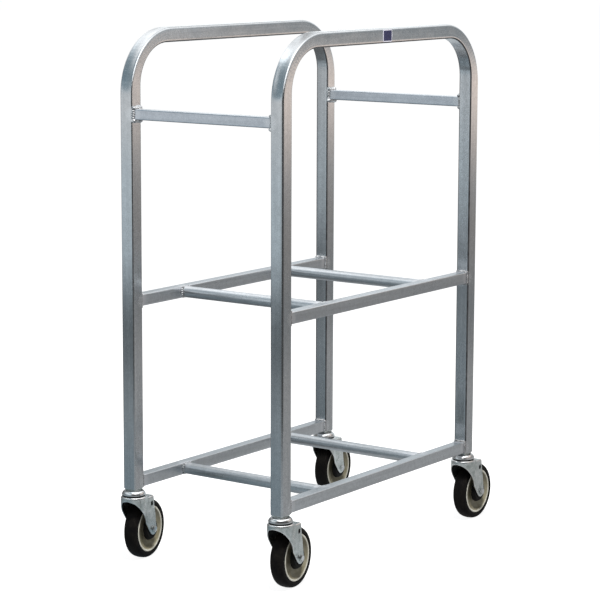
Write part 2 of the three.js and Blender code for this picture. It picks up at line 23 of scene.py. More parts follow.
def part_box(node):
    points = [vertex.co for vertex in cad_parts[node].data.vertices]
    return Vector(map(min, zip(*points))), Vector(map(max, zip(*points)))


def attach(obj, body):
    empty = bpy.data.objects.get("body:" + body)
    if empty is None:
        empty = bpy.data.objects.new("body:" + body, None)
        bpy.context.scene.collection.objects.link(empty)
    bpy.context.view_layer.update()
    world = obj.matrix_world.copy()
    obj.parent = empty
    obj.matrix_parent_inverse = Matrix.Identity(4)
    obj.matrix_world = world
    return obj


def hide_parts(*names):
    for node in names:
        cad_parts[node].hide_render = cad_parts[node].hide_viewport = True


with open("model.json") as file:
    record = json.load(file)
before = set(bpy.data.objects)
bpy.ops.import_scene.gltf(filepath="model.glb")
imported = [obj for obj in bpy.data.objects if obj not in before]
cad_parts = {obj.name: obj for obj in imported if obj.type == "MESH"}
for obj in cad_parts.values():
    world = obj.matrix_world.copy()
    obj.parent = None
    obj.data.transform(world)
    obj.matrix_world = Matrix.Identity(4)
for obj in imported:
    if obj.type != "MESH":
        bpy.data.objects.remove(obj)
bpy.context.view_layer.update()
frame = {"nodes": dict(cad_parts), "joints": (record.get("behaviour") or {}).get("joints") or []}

LOG = logging.getLogger("lug_cart")
join = np.concatenate
MM = 0.001
TAU = 2.0 * math.pi
QUARTER = TAU / 4
SURFACE_UV = "surface"
HEAT = "seam_heat"
BEND = "bend"
RIM = "rim_distance"
# Mask of painted shade: where it is 1, a finish darkens as if it lay in shade.
PAINTED_SHADE = "grime"
X_AXIS, Y_AXIS, Z_AXIS = (1.0, 0.0, 0.0), (0.0, 1.0, 0.0), (0.0, 0.0, 1.0)
FLIP_X, FLIP_Y = np.array([-1.0, 1.0, 1.0]), np.array([1.0, -1.0, 1.0])

Array = np.ndarray
Colour = tuple[float, float, float]
Place = tuple[float, float, float]
Rows = Sequence[Sequence[float]]
Input = Any
Tree = bpy.types.NodeTree
Socket = bpy.types.NodeSocket
Material = bpy.types.Material


class Side(Enum):
    """The two loops of the cart, seen from its front; pieces are named after them."""

    left = -1
    right = 1


class End(Enum):
    """The two ends of the cart along the loops; pieces are named after them."""

    front = -1
    back = 1


# --- Surfaces as whole arrays ---


@dataclass
class Surface:
    """A mesh held as arrays, in millimetres.

    Attributes:
        points: (n, 3) places.
        faces: (m, 3) or (m, 4) point numbers.
        uv: (m, 3 or 4, 2) surface coordinates per corner, in millimetres.
        values: named numbers per point.
    """

    points: Array
    faces: Array
    uv: Array
    values: dict[str, Array] = field(default_factory=dict)

    def moved(self, matrix: Array) -> "Surface":
        """Returns a copy whose points are taken through a 4 by 4 matrix."""
        points = self.points @ matrix[:3, :3].T + matrix[:3, 3]
        return Surface(points, self.faces, self.uv, self.values)


def grid_corners(index: Array, wrap_rows: bool, wrap_columns: bool) -> Array:
    """Corner numbers of every cell of a grid, closed over its ends where asked.

    Args:
        index: (rows, columns) numbers.
        wrap_rows: joins the last row to the first.
        wrap_columns: joins the last column to the first.

    Returns:
        (cells, 4) numbers in turn round each cell.
    """
    if wrap_columns:
        index = join([index, index[:, :1]], axis=1)
    if wrap_rows:
        index = join([index, index[:1]], axis=0)
    around = [index[:-1, :-1], index[:-1, 1:], index[1:, 1:], index[1:, :-1]]
    return np.stack(around, axis=-1).reshape(-1, 4)


def grid_surface(
    points: Array, wrap_rows: bool = False, wrap_columns: bool = True,
    values: Mapping[str, Array] | None = None, start: float = 0.0,
) -> Surface:
    """A surface from a grid of points; its UV is the mean distance along rows and columns.

    Args:
        points: (rows, columns, 3) places.
        wrap_rows: joins the last row to the first.
        wrap_columns: joins the last column to the first.
        values: named (rows, columns) numbers.
        start: first U, so that no two pieces share one stretch of grain.

    Returns:
        The surface.
    """
    rows, columns = points.shape[:2]
    faces = grid_corners(np.arange(rows * columns).reshape(rows, columns), wrap_rows, wrap_columns)
    step_u = np.linalg.norm(np.roll(points, -1, axis=0) - points, axis=2).mean(axis=1)
    step_v = np.linalg.norm(np.roll(points, -1, axis=1) - points, axis=2).mean(axis=0)
    u = (start + join([[0.0], np.cumsum(step_u)]))[: rows + wrap_rows]
    v = join([[0.0], np.cumsum(step_v)])[: columns + wrap_columns]
    flat = np.stack(np.meshgrid(u, v, indexing="ij"), axis=-1).reshape(-1, 2)
    cells = grid_corners(np.arange(len(flat)).reshape(len(u), len(v)), False, False)
    named = {name: np.asarray(value).ravel() for name, value in (values or {}).items()}
    return Surface(points.reshape(-1, 3), faces, flat[cells], named)


def polar(radius: Any, angle: Array) -> Array:
    """(..., 2) points at a radius and an angle: radius times cosine and radius times sine."""
    return np.stack([radius * np.cos(angle), radius * np.sin(angle)], axis=-1)


def raised(plan: Array, height: Any) -> Array:
    """(..., 3) points from (..., 2) plans and heights that fit them."""
    level = np.broadcast_to(height, plan.shape[:-1])
    return join([plan, level[..., None]], axis=-1)


def unit(vectors: Array) -> Array:
    """Vectors divided by their lengths."""
    return vectors / np.linalg.norm(vectors, axis=-1, keepdims=True)


def walked(points: Array) -> Array:
    """The distance walked along a polyline up to each of its points."""
    return join([[0.0], np.cumsum(np.linalg.norm(np.diff(points, axis=0), axis=1))])


def at_distances(points: Array, distances: Array) -> Array:
    """Places at given distances along a polyline, by straight interpolation."""
    length = walked(points)
    return np.stack([np.interp(distances, length, column) for column in points.T], axis=1)


def smooth_step(low: float, high: float, value: Array) -> Array:
    """0 below low, 1 above high, and the usual cubic between (high may lie below low)."""
    t = np.clip((value - low) / (high - low), 0, 1)
    return t * t * (3 - 2 * t)


def turn_z(degrees: float, at: Sequence[float]) -> Array:
    """4 by 4 matrix of a turn about z, then a move."""
    return np.array(Matrix.Translation(at) @ Matrix.Rotation(math.radians(degrees), 4, "Z"))


# The z axis of a turned shape laid along X: x, y, z become Y, Z, X
ALONG_X = np.array([[0.0, 0, 1, 0], [1, 0, 0, 0], [0, 1, 0, 0], [0, 0, 0, 1]])


@dataclass(frozen=True)
class Section:
    """A rounded rectangle as a unit pattern: a point is spread * (half - radius) + radius * turn.

    Attributes:
        spread: (n, 2) share of the way from the middle to the corner centres.
        turn: (n, 2) outward direction.
    """

    spread: Array
    turn: Array

    @staticmethod
    def make(corner_steps: int, flat_steps: int) -> "Section":
        """Samples the four corner arcs evenly in angle and the four flats evenly in length.

        Args:
            corner_steps: points on each corner arc.
            flat_steps: pieces that each flat is split into.

        Returns:
            The pattern, counter-clockwise from the +X side.
        """
        angle = np.arange(4)[:, None] * QUARTER + np.linspace(0, QUARTER, corner_steps)
        turn = polar(1.0, angle)
        corner = np.array([[1.0, 1.0], [-1.0, 1.0], [-1.0, -1.0], [1.0, -1.0]])
        share = np.linspace(0, 1, flat_steps + 1)[1:-1, None]
        following = np.roll(corner, -1, axis=0)
        flats = corner[:, None] + share * (following - corner)[:, None]
        spread = join([np.repeat(corner[:, None], corner_steps, axis=1), flats], axis=1)
        held = np.repeat(turn[:, -1:], flat_steps - 1, axis=1)
        turn = join([turn, held], axis=1)
        return Section(spread.reshape(-1, 2), turn.reshape(-1, 2))

    def outline(self, half_x: Any, half_y: Any, radius: Any) -> Array:
        """The outline for given half sizes and corner radius.

        Args:
            half_x: half width; this and the others are a number or one per row.
            half_y: half height.
            radius: corner radius.

        Returns:
            (..., n, 2) points.
        """
        half_x, half_y, radius = (np.asarray(a, float)[..., None] for a in (half_x, half_y, radius))
        x = self.spread[:, 0] * (half_x - radius) + radius * self.turn[:, 0]
        y = self.spread[:, 1] * (half_y - radius) + radius * self.turn[:, 1]
        return np.stack(np.broadcast_arrays(x, y), axis=-1)


def soft_corners(corners: Rows, steps: int = 5) -> Array:
    """A closed polyline with rounded corners: each becomes a quadratic curve between two points.

    The curve leaves each edge at the corner's own distance, cut to just under half the edge, and
    the corner itself is the control point.

    Args:
        corners: rows of x, y and rounding distance.
        steps: points on each rounded corner.

    Returns:
        (n, 2) points.
    """
    data = np.asarray(corners, float)
    point, reach = data[:, :2], data[:, 2:3]
    before, after = np.roll(point, 1, axis=0) - point, np.roll(point, -1, axis=0) - point
    long_before = np.linalg.norm(before, axis=1, keepdims=True)
    long_after = np.linalg.norm(after, axis=1, keepdims=True)
    cut = np.minimum(reach, 0.49 * np.minimum(long_before, long_after))
    enter, leave = point + before / long_before * cut, point + after / long_after * cut
    t = np.linspace(0, 1, steps)[None, :, None]
    middle = 2 * t * (1 - t) * point[:, None]
    flat = ((1 - t) ** 2 * enter[:, None] + middle + t**2 * leave[:, None]).reshape(-1, 2)
    keep = np.ones(len(flat), bool)
    keep[1:] = np.linalg.norm(np.diff(flat, axis=0), axis=1) > 1e-6
    return flat[keep]


def both_sides(side: Rows) -> list[Sequence[float]]:
    """Corners of one side of a wheel's profile, then the same mirrored and in reverse."""
    return [*side, *((radius, -level, soft) for radius, level, soft in reversed(side))]


def through_points(knots: Array, samples: int) -> Array:
    """A smooth curve through knots: Catmull-Rom pieces, with the outer knots as guides only.

    Args:
        knots: (k, 2) points, the first and last only steering the ends.
        samples: points on each piece.

    Returns:
        The curve from the second knot to the last but one.
    """
    t = np.linspace(0, 1, samples, endpoint=False)[None, :, None]
    a, b, c, d = (knots[i : len(knots) - 3 + i, None] for i in range(4))
    square, cube = 2 * a - 5 * b + 4 * c - d, 3 * b - a - 3 * c + d
    curve = 0.5 * (2 * b + (c - a) * t + square * t**2 + cube * t**3)
    return join([curve.reshape(-1, 2), knots[-2:-1]])


def turned(profile: Array, segments: int, start: float = 0.0, shade_paint: Any = 0.0) -> Surface:
    """A closed profile of (radius, height) turned about the z axis.

    Args:
        profile: (n, 2) radius and height.
        segments: steps round the axis.
        start: first U.
        shade_paint: painted shade, a number or one per profile point.

    Returns:
        The surface.
    """
    angle = np.arange(segments) * (TAU / segments)
    points = raised(polar(profile[:, :1], angle), profile[:, 1:])
    grime = np.broadcast_to(np.reshape(np.asarray(shade_paint, float), (-1, 1)), points.shape[:2])
    return grid_surface(points, wrap_rows=True, start=start, values={PAINTED_SHADE: grime})


@dataclass
class Workshop:
    """Makes finished pieces and keeps count of them.

    Attributes:
        shift: where the cart's own origin lies in the row frame, in metres.
        made: number of pieces so far.
        merge_distance: points closer than this become one, in metres.
    """

    shift: Array
    made: int = 0
    merge_distance: float = 4e-6

    def piece(
        self, name: str, surfaces: Sequence[Surface], material: Material, body: str, slot: str,
        replaces: str | None = None, sharp_degrees: float = 38.0,
    ) -> None:
        """Builds one object from surfaces, with its place in its mesh.

        Args:
            name: the piece's name.
            surfaces: closed shells, in millimetres.
            material: its finish.
            body: the CAD body it rides on.
            slot: the record's material slot; not used.
            replaces: the CAD node it stands for.
            sharp_degrees: edges sharper than this stay crisp.
        """
        mesh = self._mesh(name, surfaces)
        open_edges = self._close(mesh)
        mesh.shade_smooth()
        mesh.set_sharp_from_angle(angle=math.radians(sharp_degrees))
        mesh.materials.append(material)
        obj = bpy.data.objects.new(name, mesh)
        bpy.context.scene.collection.objects.link(obj)
        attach(obj, body)
        if replaces:
            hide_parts(replaces)
        self.made += 1
        LOG.info("%s: %d faces, %d open edges, on %s", name, len(mesh.polygons), open_edges, body)

    def _mesh(self, name: str, surfaces: Sequence[Surface]) -> bpy.types.Mesh:
        """Joins surfaces to one mesh with their UV and values.

        Args:
            name: the mesh's name.
            surfaces: shells, in millimetres.

        Returns:
            The mesh, in metres.
        """
        mesh = bpy.data.meshes.new(name)
        counts = np.cumsum([0] + [len(s.points) for s in surfaces])
        points = join([s.points for s in surfaces]) * MM + self.shift
        corners = join([(s.faces + n).ravel() for s, n in zip(surfaces, counts)])
        sides = join([np.full(len(s.faces), s.faces.shape[1]) for s in surfaces])
        uv = join([s.uv.reshape(-1, 2) for s in surfaces]) * MM
        mesh.vertices.add(len(points))
        mesh.vertices.foreach_set("co", points.astype(np.float32).ravel())
        mesh.loops.add(len(corners))
        mesh.loops.foreach_set("vertex_index", corners.astype(np.int32))
        mesh.polygons.add(len(sides))
        mesh.polygons.foreach_set("loop_start", (np.cumsum(sides) - sides).astype(np.int32))
        mesh.update(calc_edges=True)
        layer = mesh.uv_layers.new(name=SURFACE_UV)
        layer.data.foreach_set("uv", uv.astype(np.float32).ravel())
        for key in sorted({k for s in surfaces for k in s.values}):
            value = join([s.values.get(key, np.zeros(len(s.points))) for s in surfaces])
            carry(mesh, key, value)
        return mesh

    def _close(self, mesh: bpy.types.Mesh) -> int:
        """Merges shared borders and turns the faces outwards.

        Args:
            mesh: the mesh.

        Returns:
            How many of its edges are open.
        """
        shell = bmesh.new()
        shell.from_mesh(mesh)
        bmesh.ops.remove_doubles(shell, verts=shell.verts, dist=self.merge_distance)
        bmesh.ops.recalc_face_normals(shell, faces=shell.faces)
        open_edges = sum(not edge.is_manifold for edge in shell.edges)
        shell.to_mesh(mesh)
        shell.free()
        return open_edges


def carry(mesh: bpy.types.Mesh, name: str, value: Array) -> None:
    """Gives a mesh one named number per point."""
    layer = mesh.attributes.new(name, "FLOAT", "POINT")
    layer.data.foreach_set("value", value.astype(np.float32))


# --- Node helpers, shared effects and finishes ---


def rgba(colour: Sequence[float], scale: float = 1.0) -> tuple[float, float, float, float]:
    """A colour times a scale, with full alpha."""
    return (colour[0] * scale, colour[1] * scale, colour[2] * scale, 1.0)


def bare_material(name: str) -> Material:
    """A material with an empty node tree.

    Args:
        name: its name.

    Returns:
        The material.
    """
    material = bpy.data.materials.new(name)
    material.use_nodes = True
    material.node_tree.nodes.clear()
    return material


class Nodes:
    """Adds nodes to one tree; an input that is a socket is linked, and any other value is set."""

    def __init__(self, tree: Tree) -> None:
        """Takes the tree."""
        self.tree = tree

    def feed(self, socket: Socket, value: Input) -> None:
        """Links or sets one input.

        Args:
            socket: the input.
            value: a socket or a plain value.
        """
        if isinstance(value, Socket):
            self.tree.links.new(value, socket)
        else:
            socket.default_value = value

    def put(self, kind: str, inputs: Mapping[Any, Input], **settings: Any) -> bpy.types.Node:
        """Adds a shader node.

        Args:
            kind: its type name, without "ShaderNode".
            inputs: values or sockets by input name or number.
            **settings: its properties.

        Returns:
            The node.
        """
        node = self.tree.nodes.new("ShaderNode" + kind)
        for name, value in settings.items():
            setattr(node, name, value)
        for key, value in inputs.items():
            self.feed(node.inputs[key], value)
        return node

    def math(self, operation: str, *values: Input, clamp: bool = False) -> Socket:
        """The output of a Math node of the given operation."""
        inputs = dict(enumerate(values))
        return self.put("Math", inputs, operation=operation, use_clamp=clamp).outputs[0]

    def times(self, a: Input, b: Input) -> Socket:
        """a times b."""
        return self.math("MULTIPLY", a, b)

    def plus(self, a: Input, b: Input) -> Socket:
        """a plus b."""
        return self.math("ADD", a, b)

    def times_plus(self, a: Input, b: Input, c: Input) -> Socket:
        """a times b, plus c."""
        return self.math("MULTIPLY_ADD", a, b, c)

    def remap(self, value: Input, low: float, high: float, to_low: float, to_high: float) -> Socket:
        """The output of a clamped, smooth Map Range from low..high to to_low..to_high."""
        inputs = dict(enumerate((value, low, high, to_low, to_high)))
        return self.put("MapRange", inputs, interpolation_type="SMOOTHSTEP").outputs["Result"]

    def mix(self, share: Input, a: Input, b: Input) -> Socket:
        """The output of a colour mix from a to b."""
        return self.put("Mix", {0: share, 6: a, 7: b}, data_type="RGBA").outputs[2]

    def attribute(self, name: str) -> Socket:
        """A number that the mesh carries per point."""
        return self.put("Attribute", {}, attribute_name=name).outputs["Fac"]

    def noise(self, place: Input, **inputs: Input) -> Socket:
        """The value of a Noise texture at a place."""
        return self.put("TexNoise", {"Vector": place, **inputs}).outputs[0]


class EffectGroup(Nodes):
    """A shader node group under construction: one vector input, number inputs and outputs."""

    def __init__(self, name: str, vector: str, outputs: Sequence[str], **numbers: float) -> None:
        """Starts the group.

        Args:
            name: its name.
            vector: name of its vector input.
            outputs: names of what it puts out.
            **numbers: its number inputs with their defaults, underscores for spaces.
        """
        super().__init__(bpy.data.node_groups.new(name, "ShaderNodeTree"))
        interface = self.tree.interface
        interface.new_socket(name=vector, in_out="INPUT", socket_type="NodeSocketVector")
        for key, value in numbers.items():
            word = key.replace("_", " ")
            socket = interface.new_socket(name=word, in_out="INPUT", socket_type="NodeSocketFloat")
            socket.default_value = value
        for word in outputs:
            interface.new_socket(name=word, in_out="OUTPUT", socket_type="NodeSocketFloat")
        self.given = self.tree.nodes.new("NodeGroupInput").outputs
        self.leave = self.tree.nodes.new("NodeGroupOutput").inputs


class Effects:
    """The effects that the finishes share, each a node group built once."""

    def __init__(self) -> None:
        """Builds the groups."""
        self.drawn_lines = self._drawn_lines()
        self.mottle = self._mottle()
        self.specks = self._specks()
        self.scuffs = self._scuffs()

    def _drawn_lines(self) -> Tree:
        """Lines left by drawing: noise stretched along U and thin across V.

        Returns:
            The group.
        """
        outputs = ("Lines", "Bands")
        group = EffectGroup("drawn_lines", "Surface", outputs, Along=14.0, Across=900.0)
        split = group.put("SeparateXYZ", {0: group.given["Surface"]}).outputs
        u = group.times(split[0], group.given["Along"])
        v = group.times(split[1], group.given["Across"])
        fine = group.put("CombineXYZ", {0: u, 1: v}).outputs[0]
        broad = group.put("CombineXYZ", {0: group.times(u, 0.35), 1: group.times(v, 0.12)})
        lines = group.noise(fine, Scale=1.0, Detail=3.0, Roughness=0.6)
        bands = group.noise(broad.outputs[0], Scale=1.0, Detail=2.0)
        for name, value in zip(outputs, (lines, bands)):
            group.feed(group.leave[name], group.remap(value, 0.3, 0.7, 0.0, 1.0))
        return group.tree

    def _mottle(self) -> Tree:
        """Soft cloudy patches: two noises of different size, multiplied.

        Returns:
            The group.
        """
        group = EffectGroup("mottle", "Place", ("Patches",), Patches_per_Metre=40.0)
        place, scale = group.given["Place"], group.given["Patches per Metre"]
        first = group.noise(place, Scale=scale, Detail=5.0, Roughness=0.62)
        second = group.noise(place, Scale=group.times(scale, 0.31), Detail=2.0)
        both = group.times(first, group.plus(second, 0.5))
        group.feed(group.leave["Patches"], group.remap(both, 0.3, 0.72, 0.0, 1.0))
        return group.tree

    def _specks(self) -> Tree:
        """Small pits or specks: the near zone round scattered cell points.

        Returns:
            The group.
        """
        group = EffectGroup("specks", "Place", ("Specks",), Cells_per_Metre=600.0, Size=0.25)
        inputs = {"Vector": group.given["Place"], "Scale": group.given["Cells per Metre"]}
        distance = group.put("TexVoronoi", inputs).outputs["Distance"]
        near = group.math("DIVIDE", distance, group.given["Size"])
        group.feed(group.leave["Specks"], group.remap(near, 0.4, 1.0, 1.0, 0.0))
        return group.tree

    def _scuffs(self) -> Tree:
        """Long thin handling scratches: ridges of a stretched, bent noise.

        Returns:
            The group.
        """
        group = EffectGroup("scuffs", "Place", ("Scratches",), Scratches_per_Metre=60.0)
        turned_place = {"Rotation": (0.5, 0.9, 0.4), "Scale": (1.0, 9.0, 0.35)}
        stretched = group.put("Mapping", {"Vector": group.given["Place"], **turned_place})
        inputs = {"Scale": group.given["Scratches per Metre"], "Detail": 2.0, "Distortion": 0.4}
        noise = group.noise(stretched.outputs[0], **inputs)
        ridge = group.math("ABSOLUTE", group.math("SUBTRACT", noise, 0.5))
        group.feed(group.leave["Scratches"], group.remap(ridge, 0.0, 0.012, 1.0, 0.0))
        return group.tree


class Coating(Nodes):
    """One material under construction: its tree, its Principled shader and its coordinates."""

    def __init__(
        self, name: str, effects: Effects, roughness: float, metallic: float, specular: float = 0.5
    ) -> None:
        """Starts a material.

        Args:
            name: its name.
            effects: the shared effects.
            roughness: plain roughness, until a pattern is linked.
            metallic: plain metallic value.
            specular: plain specular level.
        """
        self.material = bare_material(name)
        super().__init__(self.material.node_tree)
        self.effects = effects
        plain = {"Roughness": roughness, "Metallic": metallic, "Specular IOR Level": specular}
        self.shader = self.put("BsdfPrincipled", plain)
        self.put("OutputMaterial", {0: self.shader.outputs[0]})
        self.place = self.put("TexCoord", {}).outputs["Object"]
        self.surface = self.put("UVMap", {}, uv_map=SURFACE_UV).outputs[0]

    def effect(self, group: Tree, **inputs: Input) -> Sequence[Socket]:
        """The outputs of a shared effect with its own values, underscores for spaces."""
        values = {key.replace("_", " "): value for key, value in inputs.items()}
        return self.put("Group", values, node_tree=group).outputs

    def mottle(self, per_metre: float) -> Socket:
        """Cloudy patches of a given fineness."""
        return self.effect(self.effects.mottle, Place=self.place, Patches_per_Metre=per_metre)[0]

    def specks(self, per_metre: float, size: float) -> Socket:
        """Specks of a given closeness and size."""
        group, place = self.effects.specks, self.place
        return self.effect(group, Place=place, Cells_per_Metre=per_metre, Size=size)[0]

    def scuffs(self, per_metre: float) -> Socket:
        """Handling scratches of a given fineness."""
        return self.effect(self.effects.scuffs, Place=self.place, Scratches_per_Metre=per_metre)[0]

    def roughened(self, roughness: float, *layers: tuple[Socket, float]) -> Input:
        """Plain roughness plus the sum of each pattern times its gain.

        Args:
            roughness: the plain value.
            *layers: patterns and what each adds at 1.

        Returns:
            The roughness.
        """
        total: Input = roughness
        for pattern, gain in layers:
            total = self.times_plus(pattern, gain, total)
        return total

    def bumps(self, *layers: tuple[Socket, float, float]) -> Socket:
        """Bumps on top of each other.

        Args:
            *layers: height in 0..1, how deep a height of 1 is in metres, and the share that shows.

        Returns:
            The normal.
        """
        under: dict[str, Socket] = {}
        for height, depth, strength in layers:
            inputs = {"Height": height, "Distance": depth, "Strength": strength, **under}
            under = {"Normal": self.put("Bump", inputs).outputs[0]}
        return under["Normal"]

    def shade_paint(self, tone: Input, rough: Input, cloud: Input, painted_dark: Colour) -> tuple[Input, Input]:
        """Paints shade where the mesh marks it: the tone turns to a dark colour, broken up by
        clouds.

        Args:
            tone: colour so far.
            rough: roughness so far, which rises with the painted shade.
            cloud: patches in 0..1.
            painted_dark: linear colour of the painted shade.

        Returns:
            The colour with its painted shade, and the roughness.
        """
        # Painted shade: the mask, broken up by clouds, turns the tone towards the given dark
        # colour.
        patchiness = self.times_plus(cloud, -0.25, 1.0)
        share = self.math("MULTIPLY", self.attribute(PAINTED_SHADE), patchiness, clamp=True)
        return self.mix(share, tone, rgba(painted_dark)), self.times_plus(share, 0.35, rough)

    def finish(self, tone: Socket, rough: Socket, normal: Socket) -> Material:
        """Links the patterns to the shader.

        Args:
            tone: base colour.
            rough: roughness.
            normal: normal.

        Returns:
            The finished material.
        """
        for name, value in (("Base Color", tone), ("Roughness", rough), ("Normal", normal)):
            self.feed(self.shader.inputs[name], value)
        return self.material


@dataclass(frozen=True)
class DrawnAluminium:
    """Bare extruded tube: drawn lines along it, a cleaned halo by each weld, bender marks."""

    name: str = "drawn_aluminium"
    colour: Colour = (0.64, 0.667, 0.69)
    halo: Colour = (0.66, 0.68, 0.7)
    roughness: float = 0.15
    line_depth: float = 0.00001
    bender_pitch: float = 0.0085
    # Colour of the painted shade on the tube's inner and lower corners.
    corner_shade_tone: Colour = (0.07, 0.07, 0.075)

    def make(self, effects: Effects) -> Material:
        """Builds the material.

        Args:
            effects: the shared effects.

        Returns:
            The material.
        """
        coat = Coating(self.name, effects, self.roughness, 1.0)
        group, place = effects.drawn_lines, coat.surface
        lines, bands = coat.effect(group, Surface=place, Along=9.0, Across=1100.0)
        patches, scales, scratch = coat.mottle(26.0), coat.mottle(330.0), coat.scuffs(34.0)
        heat = coat.attribute(HEAT)
        cleaned = coat.remap(coat.plus(heat, coat.times(scales, 0.35)), 0.45, 1.1, 0.0, 1.0)
        tone = coat.mix(bands, rgba(self.colour, 0.88), rgba(self.colour))
        tone = coat.mix(coat.times(patches, 0.25), tone, rgba(self.colour, 0.82))
        tone = coat.mix(coat.times(scales, 0.35), tone, rgba(self.colour, 0.55))
        tone = coat.mix(cleaned, tone, rgba(self.halo))
        layers = (lines, 0.06), (patches, 0.07), (cleaned, 0.07), (scratch, -0.04)
        rough = coat.roughened(self.roughness, *layers)
        # Painted shade: the inner and lower corners darken towards their shade colour.
        tone, rough = coat.shade_paint(tone, rough, patches, self.corner_shade_tone)
        along = coat.put("SeparateXYZ", {0: coat.surface}).outputs[0]
        wave = coat.math("SINE", coat.times(along, TAU / self.bender_pitch))
        marks = coat.times(coat.times_plus(wave, 0.5, 0.5), coat.attribute(BEND))
        normal = coat.bumps(
            (lines, self.line_depth, 0.55),
            (coat.times(marks, bands), 0.00008, 0.8),
            (coat.times(scales, heat), 0.0001, 0.7),
            (scratch, -0.00004, 0.6),
        )
        return coat.finish(tone, rough, normal)


@dataclass(frozen=True)
class WeldMetal:
    """Bright rippled filler with darker pits between the ripples."""

    name: str = "weld_metal"
    colour: Colour = (0.92, 0.93, 0.94)
    soot: Colour = (0.05, 0.055, 0.065)
    roughness: float = 0.1

    def make(self, effects: Effects) -> Material:
        """Builds the material; soot lies in the valleys, in half of each pit and by patches.

        Args:
            effects: the shared effects.

        Returns:
            The material.
        """
        coat = Coating(self.name, effects, self.roughness, 1.0)
        patches, pits = coat.mottle(420.0), coat.specks(700.0, 0.3)
        spread = coat.times_plus(pits, 0.5, coat.times(patches, 0.7))
        stain = coat.math("ADD", coat.attribute(RIM), spread, clamp=True)
        tone = coat.mix(stain, rgba(self.colour), rgba(self.soot))
        rough = coat.roughened(self.roughness, (patches, 0.2))
        normal = coat.bumps((patches, 0.00012, 0.6), (pits, -0.00015, 0.6))
        return coat.finish(tone, rough, normal)


@dataclass(frozen=True)
class PlatedSteel:
    """Zinc or nickel plate over pressed or cut steel: cloudy tone, fine orange peel, scratches."""

    name: str
    colour: Colour
    shade: Colour
    roughness: float
    cloud: float = 0.14
    peel: float = 0.00004
    scratches: float = 0.1
    # Edge colour: a polished edge that also paints a highlight on the fork's roll and cut edges.
    polish_and_highlight: Colour = (0.97, 0.98, 0.98)
    # Colour of the painted shade inside the fork, in its holes and at the cup's and collar's joins.
    plate_shade_tone: Colour = (0.012, 0.012, 0.011)

    def make(self, effects: Effects) -> Material:
        """Builds the material.

        Args:
            effects: the shared effects.

        Returns:
            The material.
        """
        coat = Coating(self.name, effects, self.roughness, 1.0)
        patches, grain, scratch = coat.mottle(95.0), coat.mottle(900.0), coat.scuffs(120.0)
        spots, edge = coat.specks(210.0, 0.16), coat.attribute(RIM)
        tone = coat.mix(patches, rgba(self.colour), rgba(self.shade))
        tone = coat.mix(coat.times(spots, 0.35), tone, rgba(self.shade, 0.5))
        # Painted highlight, partly a polished edge: where the mesh marks a rim, the tone turns near
        # white.
        tone = coat.mix(edge, tone, rgba(self.polish_and_highlight))
        layers = (patches, self.cloud), (grain, 0.05), (scratch, self.scratches), (edge, -0.12)
        rough = coat.roughened(self.roughness, *layers)
        # Painted shade where the mesh marks it.
        tone, rough = coat.shade_paint(tone, rough, patches, self.plate_shade_tone)
        normal = coat.bumps((grain, self.peel, 0.6), (scratch, -0.00003, 0.5))
        return coat.finish(tone, rough, normal)


@dataclass(frozen=True)
class Moulded:
    """A moulded plastic or rubber: fine texture, soft tone changes, dust and rub marks."""

    name: str
    colour: Colour
    rubbed: Colour
    dust: Colour
    roughness: float
    texture_per_metre: float = 1500.0
    texture_depth: float = 0.00003
    dust_share: float = 0.2
    specular: float = 0.5
    # Colour of the painted shade in a recess, which only the wheel core's web carries.
    recess_shade_tone: Colour = (0.02, 0.017, 0.01)

    def make(self, effects: Effects) -> Material:
        """Builds the material; dust is a film's square plus half of each fleck, times its share.

        Args:
            effects: the shared effects.

        Returns:
            The material.
        """
        coat = Coating(self.name, effects, self.roughness, 0.0, self.specular)
        patches, fine = coat.mottle(60.0), coat.mottle(self.texture_per_metre)
        film, scratch, flecks = coat.mottle(170.0), coat.scuffs(85.0), coat.specks(380.0, 0.14)
        laid = coat.plus(coat.times(film, film), coat.times(flecks, 0.5))
        settled = coat.math("MULTIPLY", laid, self.dust_share, clamp=True)
        tone = coat.mix(patches, rgba(self.colour), rgba(self.rubbed))
        tone = coat.mix(settled, tone, rgba(self.dust))
        rough = coat.roughened(self.roughness, (film, 0.12), (scratch, 0.12))
        # Painted shade where the mesh marks it.
        tone, rough = coat.shade_paint(tone, rough, patches, self.recess_shade_tone)
        normal = coat.bumps((fine, self.texture_depth, 0.5), (scratch, -0.00005, 0.5))
        return coat.finish(tone, rough, normal)


@dataclass(frozen=True)
class BorderedFoil:
    """A bare dark plate with a pale border, read from the distance to its rim."""

    name: str = "bordered_foil"
    field_colour: Colour = (0.005, 0.006, 0.04)
    border_colour: Colour = (0.58, 0.58, 0.66)
    scratched: Colour = (0.5, 0.5, 0.52)
    border: float = 2.0
    edge: float = 0.12
    roughness: float = 0.32

    def make(self, effects: Effects) -> Material:
        """Builds the material.

        Args:
            effects: the shared effects.

        Returns:
            The material.
        """
        coat = Coating(self.name, effects, self.roughness, 0.0)
        patches, scratch = coat.mottle(240.0), coat.scuffs(150.0)
        low, high = self.border - self.edge, self.border + self.edge
        within = coat.remap(coat.attribute(RIM), low, high, 0.0, 1.0)
        deep = coat.mix(patches, rgba(self.field_colour), rgba(self.field_colour, 1.5))
        pale = coat.mix(patches, rgba(self.border_colour), rgba(self.border_colour, 0.88))
        tone = coat.mix(within, pale, deep)
        tone = coat.mix(coat.times(scratch, 0.12), tone, rgba(self.scratched))
        rough = coat.roughened(self.roughness, (patches, 0.15))
        normal = coat.bumps((patches, 0.00003, 0.5), (within, 0.00004, 0.6))
        return coat.finish(tone, rough, normal)


